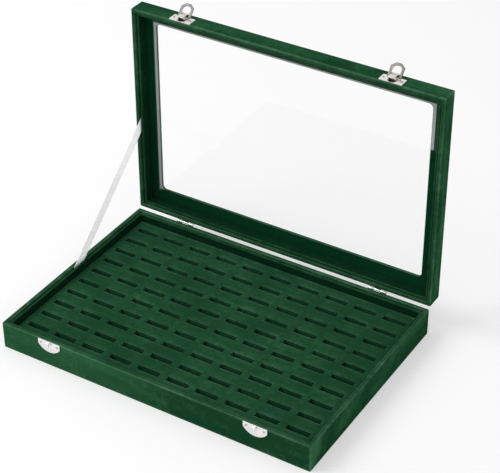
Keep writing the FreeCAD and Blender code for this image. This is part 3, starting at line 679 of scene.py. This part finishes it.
def pile_material(name, deep, pale, crest_highlight):
    """Velvet of one depth of colour, paler where the pile is brushed, and paler along edges, partly splayed pile
    and partly a painted highlight.
    """
    if found(name):
        return found(name)
    material, tree, shader = new_material(name)
    tones = {"Deep": solid(deep), "Pale": solid(pale), "Crest": solid(crest_highlight)}
    pile = place_group(tree, "Velvet pile", pile_group, **tones)
    for stored in ("nap", "ridge"):
        attribute = tree.nodes.new("ShaderNodeAttribute")
        attribute.attribute_name = stored
        link(tree, attribute.outputs["Fac"], pile.inputs[stored.capitalize()])
    surface(tree, shader, pile.outputs["Color"], pile, strength=0.5, distance=0.2 * MILLIMETRE)
    tint = solid(bpy.context.scene.tray_cloth.sheen)
    set_inputs(shader, Specular_IOR_Level=0, Sheen_Weight=0.05, Sheen_Roughness=0.35, Sheen_Tint=tint)
    return material


def velvet_material():
    """Dark green velvet of the walls and the lid."""
    sizes = bpy.context.scene.tray_cloth
    return pile_material("Green velvet", sizes.deep, sizes.pale, sizes.crest_highlight)


def pad_material():
    """The same velvet on the pad, with less brushed nap."""
    sizes = bpy.context.scene.tray_cloth
    return pile_material("Pad velvet", sizes.pad_deep, sizes.pad_pale, sizes.crest_highlight)


def lining_material():
    """The same velvet on the liners in darker tones, painted shade of the walls, with a dimmer painted edge
    highlight.
    """
    sizes = bpy.context.scene.tray_cloth
    return pile_material("Lining velvet", sizes.lining, sizes.deep, shade(sizes.pale, 0.6))


def bed_material():
    """Dark cloth of the frame behind the pane's edge, with a grey painted reflection in the glass along the
    window's left side, its top and the upper part of its right side.
    """
    sizes = bpy.context.scene.tray_cloth
    material, tree, shader = new_material("Pane bed")
    parts = tree.nodes.new("ShaderNodeSeparateXYZ")
    link(tree, coordinates(tree, "Object"), parts.inputs[0])
    across, height = parts.outputs["X"], parts.outputs["Z"]
    jamb = LID_HIGH.x - sizes.window_border
    sill = LID_LOW.z + sizes.window_border
    head = LID_HIGH.z - sizes.window_border
    # Painted reflection: grey beside the window, all the way up on the left and only near the top on the right
    beside = combine(tree, "LESS_THAN", combine(tree, "ABSOLUTE", across, 0), jamb + sizes.reflection_width)
    on_right = combine(tree, "GREATER_THAN", across, 0)
    lift = combine(tree, "MULTIPLY", on_right, head - sizes.reflection_drop - sill)
    above = combine(tree, "GREATER_THAN", height, combine(tree, "ADD", lift, sill))
    below = combine(tree, "LESS_THAN", height, head + sizes.reflection_top)
    mask = combine(tree, "MULTIPLY", beside, combine(tree, "MULTIPLY", above, below))
    link(tree, blend_tones(tree, mask, sizes.bed, sizes.painted_reflection), shader.inputs["Base Color"])
    set_inputs(shader, Roughness=0.9, Specular_IOR_Level=0)
    return material


def felt_material():
    """Thin dark felt."""
    sizes = bpy.context.scene.tray_cloth
    material, tree, shader = new_material("Dark felt")
    tones = {"Deep": solid(sizes.felt), "Pale": solid(sizes.deep)}
    pile = place_group(tree, "Velvet pile", pile_group, **tones)
    surface(tree, shader, pile.outputs["Color"], pile, strength=0.8, distance=0.3 * MILLIMETRE)
    return material


def board_material():
    """Bare fibreboard."""
    board = bpy.context.scene.tray_cloth.board
    material, tree, shader = new_material("Fibreboard")
    grain = place_group(tree, "Fine grain", grain_group, Cloud_scale=900, Low=0.7, High=0.9)
    tone = blend_tones(tree, grain.outputs["Mask"], shade(board, 0.7), board)
    surface(tree, shader, tone, grain, strength=0.3, distance=0.1 * MILLIMETRE)
    return material


def painted_shade_mask(tree, reach):
    """How near a point lies to the pin of either lever, for the painted shade under the levers."""
    folded = tree.nodes.new("ShaderNodeVectorMath")
    folded.operation = "ABSOLUTE"
    link(tree, coordinates(tree, "Object"), folded.inputs[0])
    away = tree.nodes.new("ShaderNodeVectorMath")
    away.operation = "DISTANCE"
    link(tree, folded.outputs[0], away.inputs[0])
    away.inputs[1].default_value = LEVER_PIN
    full = 0.7 * reach
    return remap(tree, away.outputs["Value"], reach, full)


def nickel_material(name, tone, rough, painted_shade_reach):
    """Plated metal of one tone, with cloudy wear, fine scratches and painted shade round the levers' pins."""
    if found(name):
        return found(name)
    material, tree, shader = new_material(name)
    wear_and_highlight = {"Cloud_scale": 350, "Scratch_scale": 4000, "Low": rough[0], "High": rough[1]}
    grain = place_group(tree, "Fine grain", grain_group, **wear_and_highlight)
    plating = blend_tones(tree, grain.outputs["Mask"], tone, shade(tone, 0.9))
    # Painted shade under the levers, darkest at their pins
    if painted_shade_reach:
        painted_shade = solid(bpy.context.scene.tray_fittings.painted_shade)
        plating = mix_colours(tree, painted_shade_mask(tree, painted_shade_reach), plating, painted_shade)
    surface(tree, shader, plating, grain, strength=0.05, distance=0.02 * MILLIMETRE)
    set_inputs(shader, Metallic=1)
    return material


def pane_material():
    """Clear float glass, very slightly wavy."""
    sizes = bpy.context.scene.tray_fittings
    material, tree, shader = new_material("Float glass")
    tint = solid(sizes.pane)
    set_inputs(shader, Base_Color=tint, Roughness=0, IOR=sizes.pane_index, Transmission_Weight=1)
    waves = noise_at(tree, coordinates(tree, "Object"), scale=9, detail=1, roughness=0.4)
    add_bump(tree, shader, waves, strength=0.05, distance=0.02 * MILLIMETRE)
    path = tree.nodes.new("ShaderNodeLightPath")
    clear = put(tree, "ShaderNodeBsdfTransparent", Color=tint)
    unseen = combine(tree, "MAXIMUM", path.outputs["Is Shadow Ray"], path.outputs["Is Diffuse Ray"])
    mix_shaders(tree, unseen, shader.outputs[0], clear.outputs[0])
    return material


def satin_material():
    """White satin with fine ribs across the ribbon."""
    sizes = bpy.context.scene.tray_ribbon
    material, tree, shader = new_material("White satin")
    ribs = put(tree, "ShaderNodeTexWave", Scale=140, Distortion=0.4, Detail=1)
    ribs.bands_direction = "Y"
    link(tree, coordinates(tree, "UV"), ribs.inputs["Vector"])
    tone = blend_tones(tree, ribs.outputs["Fac"], shade(sizes.satin, 0.93), sizes.satin)
    link(tree, tone, shader.inputs["Base Color"])
    depth = 10 * sizes.thickness
    set_inputs(shader, Subsurface_Weight=1, Subsurface_Radius=(1, 1, 1), Subsurface_Scale=depth)
    set_inputs(shader, Roughness=0.38)
    add_bump(tree, shader, ribs.outputs["Fac"], strength=0.15, distance=0.05 * MILLIMETRE)
    return material


# Cloth pieces
def cloth_shell(name, low, high, rim):
    """A covered box: closed but for its rim, where the velvet turns in behind the liners."""
    piece = add_block(name, low, high)
    pick_side(piece, rim)
    bpy.ops.mesh.inset(thickness=WALL, depth=0)
    extrude_by(-rim * bpy.context.scene.tray_cloth.turn_in)
    bpy.ops.mesh.delete(type="ONLY_FACE")
    return piece


# Brush marks on the velvet: facing, middle, stroke, half length, half width, lift of the pile
BASE_MARKS = (
    # The first and third marks, lighter at the front face's left end and darker at its right end, are a painted
    # fall-off of the light from the left
    ((0, -1, 0), (-0.175, -0.119, 0.015), (1, 0, 0), 0.19, 0.05, 0.34),
    ((0, -1, 0), (-0.080, -0.119, 0.028), (1, 0, -0.02), 0.06, 0.008, 0.22),
    ((0, -1, 0), (0.110, -0.119, 0.013), (1, 0, 0.1), 0.10, 0.03, -0.12),
    ((1, 0, 0), (0.175, -0.116, 0.016), (0, 0.4, 1), 0.04, 0.014, 0.75),
    ((1, 0, 0), (0.175, -0.085, 0.014), (0, 0.7, 1), 0.05, 0.012, -0.15),
    ((1, 0, 0), (0.175, -0.045, 0.020), (0, 1, 0.5), 0.035, 0.009, 0.25),
    ((1, 0, 0), (0.175, 0.030, 0.018), (0, 1, 0.4), 0.045, 0.008, 0.28),
    ((1, 0, 0), (0.175, 0.085, 0.024), (0, 1, 0.1), 0.03, 0.006, 0.3),
)
LID_MARKS = (
    ((0, 0, 1), (-0.110, 0.130, 0.270), (1, 0.1, 0), 0.07, 0.010, 0.22),
    ((0, 0, 1), (0.000, 0.133, 0.270), (1, -0.05, 0), 0.05, 0.006, 0.22),
    ((0, 0, 1), (0.060, 0.126, 0.270), (1, 0.2, 0), 0.03, 0.006, -0.2),
    ((0, 0, 1), (0.150, 0.132, 0.270), (1, 0, 0), 0.03, 0.010, 0.3),
    ((1, 0, 0), (0.175, 0.130, 0.190), (0, -0.05, 1), 0.09, 0.004, 0.3),
    ((1, 0, 0), (0.175, 0.132, 0.090), (0, 0.06, 1), 0.06, 0.005, 0.34),
    ((1, 0, 0), (0.175, 0.136, 0.255), (0, 0.3, 1), 0.02, 0.005, 0.35),
)
# How steeply a mark fades towards its border
MARK_FADE = 3


def finish_cloth(piece, marks, wear_and_highlight):
    """Nap, thickness, ridges and shading of a covered box."""
    sizes = bpy.context.scene.tray_cloth
    cut_grid(piece, sizes.nap_cell, sizes.edge_radius + sizes.highlight_run)
    thicken(piece, sizes.thickness, offset=-1)
    mark_ridges(piece, wear_and_highlight)
    brush_nap(piece, marks)
    smooth(piece)


class TRAY_OT_base_cloth(bpy.types.Operator):
    """Velvet over the base's walls, turned in at the rim and under the floor"""

    bl_idname = "tray.base_cloth"
    bl_label = "Base Velvet"

    def execute(self, context):
        sizes = context.scene.tray_cloth
        low = Vector((BASE_LOW.x, BASE_LOW.y, sizes.hem_rise))
        piece = cloth_shell("base_velvet", low, BASE_HIGH, AXIS["z"])
        pick_side(piece, -AXIS["z"])
        bpy.ops.mesh.inset(thickness=sizes.turn_under, depth=0)
        bpy.ops.mesh.delete(type="ONLY_FACE")

        def at_rim_or_corner(a, b):
            on_rim = level(a, b, AXIS["z"], BASE_HIGH.z)
            outside = all(near(abs(p.x), BASE_HIGH.x) and near(abs(p.y), BASE_HIGH.y) for p in (a, b))
            return square_on(a, b) and (on_rim or (outside and along(a, b, AXIS["z"])))

        pick_edges(piece, at_rim_or_corner)
        bevel(sizes.edge_radius, segments=5)
        inner = BASE_HIGH - Vector((1, 1, 1)) * sizes.turn_under / 2

        def at_foot(a, b):
            outer = all(abs(p.x) > inner.x or abs(p.y) > inner.y for p in (a, b))
            return outer and level(a, b, AXIS["z"], low.z)

        pick_edges(piece, at_foot)
        bevel(sizes.foot_radius, segments=3)
        finish_cloth(piece, BASE_MARKS, even_highlight)
        dress(piece, velvet_material(), "base", "velvet", "base_velvet_wrap")
        return {"FINISHED"}


class TRAY_OT_lid_cloth(bpy.types.Operator):
    """Velvet over the lid's rails, round the window and turned in at the rim"""

    bl_idname = "tray.lid_cloth"
    bl_label = "Lid Velvet"

    def execute(self, context):
        sizes = context.scene.tray_cloth
        piece = cloth_shell("lid_velvet", LID_LOW, LID_HIGH, -AXIS["y"])
        pane_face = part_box("glass_pane")[1].y
        pick_side(piece, AXIS["y"])
        bpy.ops.mesh.inset(thickness=sizes.window_border, depth=0)
        extrude_by(AXIS["y"] * (pane_face - LID_HIGH.y))
        bpy.ops.mesh.delete(type="ONLY_FACE")
        middle = (LID_LOW + LID_HIGH) / 2
        half = (LID_HIGH - LID_LOW) / 2
        inner = half - Vector((1, 1, 1)) * WALL / 2
        opening = half - Vector((1, 1, 1)) * sizes.window_border / 2

        def in_window(p):
            return abs(p.x) < opening.x and abs(p.z - middle.z) < opening.z

        def at_window_corner(a, b):
            return along(a, b, AXIS["y"]) and in_window(a) and in_window(b) and a.y > middle.y

        pick_edges(piece, at_window_corner)
        bevel(sizes.window_radius, segments=6)

        def at_window_lip(a, b):
            on_outline = all(self.on_outline(p, half, middle, sizes) for p in (a, b))
            return on_outline and level(a, b, AXIS["y"], LID_HIGH.y)

        pick_edges(piece, at_window_lip)
        bevel(sizes.lip_radius, segments=3)

        def at_rim_or_corner(a, b):
            outside = all(near(abs(p.x), half.x) and near(abs(p.z - middle.z), half.z) for p in (a, b))
            flat = any(level(a, b, AXIS["y"], y) for y in (LID_LOW.y, LID_HIGH.y))
            wide = not in_window(a) and not in_window(b)
            at_rim = flat and wide and square_on(a, b)
            return at_rim or (outside and along(a, b, AXIS["y"]))

        pick_edges(piece, at_rim_or_corner)
        bevel(sizes.edge_radius, segments=5)

        # The lid's inner edges lie in shade and get less of the painted edge highlight: painted shade
        def wear_and_highlight(p):
            inside = abs(p.x) < inner.x and abs(p.z - middle.z) < inner.z
            return sizes.inner_highlight if inside else 1

        finish_cloth(piece, LID_MARKS, wear_and_highlight)
        dress(piece, velvet_material(), "lid", "velvet", "lid_velvet_wrap")
        return {"FINISHED"}

    @staticmethod
    def on_outline(p, half, middle, sizes):
        """Whether a point lies on the window's rounded outline."""
        inset = sizes.window_border + sizes.window_radius
        past_x = max(0, abs(p.x) - half.x + inset)
        past_z = max(0, abs(p.z - middle.z) - half.z + inset)
        return near(math.hypot(past_x, past_z), sizes.window_radius, LOOSE)


class TRAY_OT_liners(bpy.types.Operator):
    """Velvet-covered cards inside the walls of base and lid, mitred at their ends"""

    bl_idname = "tray.liners"
    bl_label = "Liners"

    def execute(self, context):
        sizes = context.scene.tray_cloth
        for body, rise in (("base", AXIS["z"]), ("lid", -AXIS["y"])):
            for side in SIDES:
                self.add_liner(body, side, rise, sizes)
        return {"FINISHED"}

    @staticmethod
    def add_liner(body, side, rise, sizes):
        """One liner; rise points to its free edge."""
        node = f"{body}_{side}_liner"
        low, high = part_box(node)
        piece = add_block(f"{node}_velvet", low, high)
        size = high - low
        deep = AXIS["y"] if body == "base" else AXIS["z"]
        run, through = (AXIS["x"], deep) if side in ("front", "back") else (deep, AXIS["x"])
        centre = (BASE_LOW + BASE_HIGH) / 2 if body == "base" else (LID_LOW + LID_HIGH) / 2
        inward = through if (centre - (low + high) / 2).dot(through) > 0 else -through
        pick_side(piece, inward)
        shrink = 1 - 2 * size.dot(through) / size.dot(run)
        bpy.ops.transform.resize(value=[shrink if part else 1 for part in run])
        top = max(low.dot(rise), high.dot(rise))
        pick_edges(piece, lambda a, b: level(a, b, rise, top) and along(a, b, run))
        bevel(sizes.liner_radius, segments=4)
        # Only the liner's free edge gets the painted edge highlight
        crest_highlight = top - sizes.liner_radius - sizes.highlight_run
        cut_across(piece, rise, crest_highlight)
        mark_ridges(piece, lambda place: int(place.dot(rise) > crest_highlight + sizes.highlight_run / 2))
        smooth(piece)
        dress(piece, lining_material(), body, "velvet", node)


class TRAY_OT_felt(bpy.types.Operator):
    """Thin felt under the floor"""

    bl_idname = "tray.felt"
    bl_label = "Underside Felt"

    def execute(self, context):
        low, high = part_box("base_underside_felt")
        piece = add_block("underside_felt", low, high)
        pick_edges(piece, lambda a, b: level(a, b, AXIS["z"], low.z) or along(a, b, AXIS["z"]))
        bevel((high.z - low.z) / 3, segments=3)
        smooth(piece)
        dress(piece, felt_material(), "base", "felt", "base_underside_felt")
        return {"FINISHED"}


class TRAY_OT_pad(bpy.types.Operator):
    """Velvet pad with its rows of ring slots"""

    bl_idname = "tray.pad"
    bl_label = "Ring Pad"

    def execute(self, context):
        sizes = context.scene.tray_pad
        rows = len(FOAM_ROWS) - 1
        slot_width = FOAM_ROWS[1][0].y - FOAM_ROWS[0][1].y - 2 * CLOTH
        row_pitch = FOAM_ROWS[2][0].y - FOAM_ROWS[1][0].y
        spare = PAD_HIGH.x - PAD_LOW.x - 2 * sizes.column_land - sizes.slot_length
        column_pitch = spare / (sizes.columns - 1)
        left = PAD_LOW.x + sizes.column_land + sizes.slot_length / 2
        front = FOAM_ROWS[0][1].y + CLOTH + slot_width / 2
        first = Vector((left, front, PAD_HIGH.z))
        depth = PAD_HIGH.z - FOAM_ROWS[0][0].z - CLOTH
        piece = self.add_cell(first, column_pitch, row_pitch, slot_width, depth)
        self.repeat(piece, (column_pitch, 0, 0), sizes.columns)
        self.repeat(piece, (0, row_pitch, 0), rows)
        self.add_sides(piece, sizes.columns * column_pitch, rows * row_pitch)
        self.crown(piece, first, column_pitch, row_pitch, slot_width)
        mark_ridges(piece, even_highlight)
        smooth(piece, degrees=60)
        dress(piece, pad_material(), "base", "velvet", "pad_cover", "foam_spacers", *FOAM_BARS)
        return {"FINISHED"}

    @staticmethod
    def add_cell(place, across, along_y, slot_width, depth):
        """The pad round one slot: a flat top with a pocket whose lip is rounded."""
        sizes = bpy.context.scene.tray_pad
        deselect_all()
        bpy.ops.mesh.primitive_plane_add(size=1, location=place)
        piece = name_piece("ring_pad")
        piece.scale = (across, along_y, 1)
        settle(piece)
        pick_side(piece, AXIS["z"])
        border = (across - sizes.slot_length) / 2
        bpy.ops.mesh.inset(thickness=border, depth=0)
        bpy.ops.transform.resize(value=(1, slot_width / (along_y - 2 * border), 1))
        extrude_by((0, 0, -depth))
        top = place.z
        lip = sizes.slot_length / 2 + LOOSE

        def at_lip(a, b):
            by_slot = all(abs(p.x - place.x) < lip and abs(p.y - place.y) < slot_width for p in (a, b))
            return by_slot and level(a, b, AXIS["z"], top)

        pick_edges(piece, at_lip)
        bevel(sizes.lip_radius, segments=4)
        pick_faces(piece, lambda middle, normal: near(middle.z, top) and normal.z > FACING)
        bpy.ops.mesh.subdivide(number_cuts=3)
        return piece

    @staticmethod
    def repeat(piece, offset, count):
        """Copy a cell along an offset and join the copies at their borders."""
        activate(piece)
        bpy.ops.object.modifier_add(type="ARRAY")
        modifier = piece.modifiers[-1]
        modifier.count = count
        modifier.use_relative_offset = False
        modifier.use_constant_offset = True
        modifier.constant_offset_displace = offset
        modifier.use_merge_vertices = True
        modifier.merge_threshold = SEAM
        bpy.ops.object.modifier_apply(modifier=modifier.name)

    @staticmethod
    def add_sides(piece, width, reach):
        """Carry the slotted top out to the pad's border, down its sides and across its underside."""
        sizes = bpy.context.scene.tray_pad
        size = PAD_HIGH - PAD_LOW
        half = Vector((width / 2, reach / 2))
        outline = size / 2

        def at_border(a, b):
            on_x = near(abs(a.x), half.x) and near(a.x, b.x)
            on_y = near(abs(a.y), half.y) and near(a.y, b.y)
            return on_x or on_y

        pick_edges(piece, at_border)
        extrude_by((0, 0, 0))
        bpy.ops.transform.resize(value=(size.x / width, size.y / reach, 1))
        extrude_by((0, 0, -size.z))
        bpy.ops.mesh.edge_face_add()

        def at_pad_edge(a, b):
            on_side = all(near(abs(p.x), outline.x) or near(abs(p.y), outline.y) for p in (a, b))
            corner = all(near(abs(p.x), outline.x) and near(abs(p.y), outline.y) for p in (a, b))
            return corner or (on_side and level(a, b, AXIS["z"], PAD_HIGH.z))

        pick_edges(piece, at_pad_edge)
        bevel(sizes.edge_radius, segments=5)
        edit(piece, "FACE")
        bpy.ops.mesh.select_all(action="SELECT")
        bpy.ops.mesh.normals_make_consistent(inside=False)

    @staticmethod
    def crown(piece, first, column_pitch, row_pitch, slot_width):
        """Foam stands up a little between the slots, and the velvet over it is never quite flat."""
        sizes = bpy.context.scene.tray_pad
        deselect_all()
        half = Vector((sizes.slot_length / 2, slot_width / 2))
        for vertex in piece.data.vertices:
            if vertex.co.z < PAD_HIGH.z - sizes.lip_radius / 2:
                continue
            across = (vertex.co.x - first.x + column_pitch / 2) % column_pitch - column_pitch / 2
            deep = (vertex.co.y - first.y + row_pitch / 2) % row_pitch - row_pitch / 2
            away = Vector((max(0, abs(across) - half.x), max(0, abs(deep) - half.y))).length
            rise = 1 - math.exp(-away / sizes.crown_run)
            uneven = noise.noise(vertex.co * sizes.ripple_count) * sizes.ripple
            vertex.co.z += (rise - 1) * sizes.crown + uneven * rise


class TRAY_OT_boards(bpy.types.Operator):
    """Boards under the velvet, and the pane's frame with its painted reflection"""

    bl_idname = "tray.boards"
    bl_label = "Boards"

    def execute(self, context):
        board = board_material()
        walls = [f"base_{side}_wall" for side in SIDES] + [f"lid_{side}_rail" for side in SIDES]
        for node in walls + ["base_floor_panel", "pad_board"]:
            coat(frame["nodes"][node], board)
        coat(frame["nodes"]["lid_top_frame"], bed_material())
        return {"FINISHED"}


class TRAY_OT_pane(bpy.types.Operator):
    """Glass of the lid"""

    bl_idname = "tray.pane"
    bl_label = "Glass Pane"

    def execute(self, context):
        coat(frame["nodes"]["glass_pane"], pane_material())
        return {"FINISHED"}


# How far out from the wall the hook of a catch begins
HOOK_START = 0.9 * MILLIMETRE


class TRAY_OT_fittings(bpy.types.Operator):
    """Nickel hinges, latches, catches and nails, with their pressed edges rounded"""

    bl_idname = "tray.fittings"
    bl_label = "Fittings"

    def execute(self, context):
        sizes = context.scene.tray_fittings
        bright, dull = (0.18, 0.30), (0.45, 0.55)
        usual = ("Nickel plate", sizes.nickel, bright, 0)
        finishes = {
            # The latch plates carry painted shade round the levers' pins
            "latch_plate": ("Latch plate", sizes.nickel, bright, sizes.painted_shade_reach),
            "latch_lever": ("Latch lever", sizes.lever, bright, 0),
            "latch_loop": ("Latch loop", sizes.loop, dull, 0),
            "catch_plate": ("Catch plate", sizes.catch, bright, 0),
            "catch": ("Nail head", sizes.nails, bright, 0),
            "latch": ("Nail head", sizes.nails, bright, 0),
        }
        bodies = frame["record"]["behaviour"]["bodies"]
        slots = {part["node"]: part["material_slot"] for part in frame["record"]["subparts"]}
        for body, nodes in bodies.items():
            for node in nodes:
                if slots[node] == "nickel":
                    finish = finishes.get(node.rpartition("_")[0], usual)
                    piece = self.plate(node, body, nickel_material(*finish), sizes.edge)
                    # The sides of each catch's hook get painted shade
                    if node.startswith("catch_plate"):
                        self.shade_hook(piece, nickel_material("Shaded hook side", sizes.painted_shade, dull, 0))
        return {"FINISHED"}

    @staticmethod
    def plate(node, body, material, edge):
        """A plated copy of one fitting."""
        activate(frame["nodes"][node])
        bpy.ops.object.duplicate()
        piece = name_piece(f"{node}_plated")
        for key in [key for key in piece.keys() if key.startswith("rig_")]:
            del piece[key]
        piece.parent = None
        edit(piece, "EDGE")
        bpy.ops.mesh.select_all(action="SELECT")
        bpy.ops.mesh.customdata_custom_splitnormals_clear()
        bpy.ops.mesh.remove_doubles(threshold=WELD)
        bpy.ops.mesh.dissolve_limited(angle_limit=math.radians(0.5))
        bpy.ops.mesh.select_all(action="DESELECT")
        bpy.ops.mesh.edges_select_sharp(sharpness=math.radians(40))
        bevel(edge, segments=2)
        smooth(piece, degrees=35)
        dress(piece, material, body, "nickel", node)
        return piece

    @staticmethod
    def shade_hook(piece, material):
        """Give the sides of a catch's hook painted shade, where it stands out from its plate."""
        piece.data.materials.append(material)
        plate_face = BASE_LOW.y - HOOK_START
        for face in piece.data.polygons:
            beside = face.normal.x > SIDEWAYS or face.normal.z < -SIDEWAYS
            if beside and face.center.y < plate_face:
                face.material_index = 1


class TRAY_OT_ribbon(bpy.types.Operator):
    """Satin ribbon that stays the lid"""

    bl_idname = "tray.ribbon"
    bl_label = "Ribbon Stay"

    def execute(self, context):
        sizes = context.scene.tray_ribbon
        low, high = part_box("ribbon_stay")
        foot = Vector(((low.x + high.x) / 2, HINGE.y - sizes.base_reach, BASE_HIGH.z))
        head = Vector((foot.x, LID_LOW.y, HINGE.z + sizes.lid_reach))
        run = (head - foot).normalized()
        flat = (sizes.width, (head - foot).length + 2 * sizes.tuck)
        deselect_all()
        bpy.ops.mesh.primitive_grid_add(x_subdivisions=6, y_subdivisions=72, size=1)
        piece = name_piece("satin_ribbon")
        across = run.cross(AXIS["x"])
        turn = Matrix((across, run, across.cross(run))).transposed().to_4x4()
        scale = Matrix.Diagonal((*flat, 1, 1))
        piece.matrix_world = Matrix.Translation((foot + head) / 2) @ turn @ scale
        settle(piece)
        thicken(piece, sizes.thickness, offset=0)
        smooth(piece)
        coat(piece, satin_material())
        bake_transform(piece)
        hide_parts("ribbon_stay")
        return {"FINISHED"}


class TRAY_OT_stage(bpy.types.Operator):
    """White floor, soft lamps and the camera"""

    bl_idname = "tray.stage"
    bl_label = "Stage"

    def execute(self, context):
        sizes = context.scene.tray_stage
        context.scene.view_settings.view_transform = "Standard"
        self.add_floor(sizes)
        self.add_world(context.scene, sizes)
        self.add_lamp("Key", sizes.key_place, sizes.key_size, sizes.key_power)
        self.add_lamp("Fill", sizes.fill_place, sizes.fill_size, sizes.fill_power)
        self.add_camera(context.scene, sizes)
        return {"FINISHED"}

    @staticmethod
    def add_floor(sizes):
        """A wide white table, which is seen nearly white but for the tray's shadow."""
        deselect_all()
        bpy.ops.mesh.primitive_plane_add(size=12)
        piece = name_piece("floor")
        material, tree, shader = new_material("White table")
        set_inputs(shader, Base_Color=solid(sizes.floor), Roughness=0.9, Specular_IOR_Level=0)
        glow = put(tree, "ShaderNodeEmission", Color=(1, 1, 1, 1), Strength=1)
        share = combine(tree, "MULTIPLY", seen_plainly(tree), sizes.floor_glow)
        mix_shaders(tree, share, shader.outputs[0], glow.outputs[0])
        piece.data.materials.append(material)

    @staticmethod
    def add_world(scene, sizes):
        """Even light, and plain white wherever the camera, metal or glass sees past the floor."""
        world = bpy.data.worlds.new("Studio")
        scene.world = world
        world.use_nodes = True
        tree = world.node_tree
        backdrop = tree.nodes["Background"]
        set_inputs(backdrop, Color=(1, 1, 1, 1))
        strength = spread(tree, seen_plainly(tree), sizes.ambient, 1)
        link(tree, strength, backdrop.inputs["Strength"])

    @staticmethod
    def add_lamp(name, place, size, power):
        """A square soft lamp that looks at the tray."""
        deselect_all()
        bpy.ops.object.light_add(type="AREA", location=place)
        lamp = bpy.context.object
        lamp.name = name
        lamp.data.energy = power
        lamp.data.size = size
        middle = (CAD_BOX[0] + CAD_BOX[1]) / 2
        lamp.rotation_euler = (middle - place).to_track_quat("-Z", "Y").to_euler()

    @staticmethod
    def add_camera(scene, sizes):
        """The photograph's camera."""
        deselect_all()
        bpy.ops.object.camera_add(location=sizes.eye)
        camera = bpy.context.object
        camera.data.lens = sizes.lens
        camera.data.clip_end = 50
        turn = Matrix.Rotation(sizes.azimuth, 4, "Z")
        tip = Matrix.Rotation(math.pi / 2 - sizes.elevation, 4, "X")
        roll = Matrix.Rotation(sizes.roll, 4, "Z")
        camera.rotation_euler = (turn @ tip @ roll).to_euler()
        scene.camera = camera


class TRAY_PT_panel(bpy.types.Panel):
    """Buttons for the tray's pieces"""

    bl_idname = "TRAY_PT_panel"
    bl_label = "Ring Tray"
    bl_space_type = "VIEW_3D"
    bl_region_type = "UI"
    bl_category = "Ring Tray"

    def draw(self, context):
        for operator in OPERATORS:
            self.layout.operator(operator.bl_idname)
        for group in GROUPS:
            settings = getattr(context.scene, group)
            for name in settings.__annotations__:
                self.layout.prop(settings, name)


OPERATORS = (
    TRAY_OT_base_cloth,
    TRAY_OT_lid_cloth,
    TRAY_OT_liners,
    TRAY_OT_felt,
    TRAY_OT_pad,
    TRAY_OT_boards,
    TRAY_OT_pane,
    TRAY_OT_fittings,
    TRAY_OT_ribbon,
    TRAY_OT_stage,
)


def register():
    """Add the classes and hang their settings on the scene."""
    for made in (*GROUPS.values(), *OPERATORS, TRAY_PT_panel):
        bpy.utils.register_class(made)
    for name, made in GROUPS.items():
        setattr(bpy.types.Scene, name, PointerProperty(type=made))


def unregister():
    """Take the settings and the classes away again."""
    for name in GROUPS:
        delattr(bpy.types.Scene, name)
    for made in (TRAY_PT_panel, *OPERATORS, *GROUPS.values()):
        bpy.utils.unregister_class(made)


def main():
    """Build every piece."""
    register()
    bpy.ops.tray.base_cloth()
    bpy.ops.tray.lid_cloth()
    bpy.ops.tray.liners()
    bpy.ops.tray.felt()
    bpy.ops.tray.pad()
    bpy.ops.tray.boards()
    bpy.ops.tray.pane()
    bpy.ops.tray.fittings()
    bpy.ops.tray.ribbon()
    bpy.ops.tray.stage()


if __name__ == "__main__":
    main()
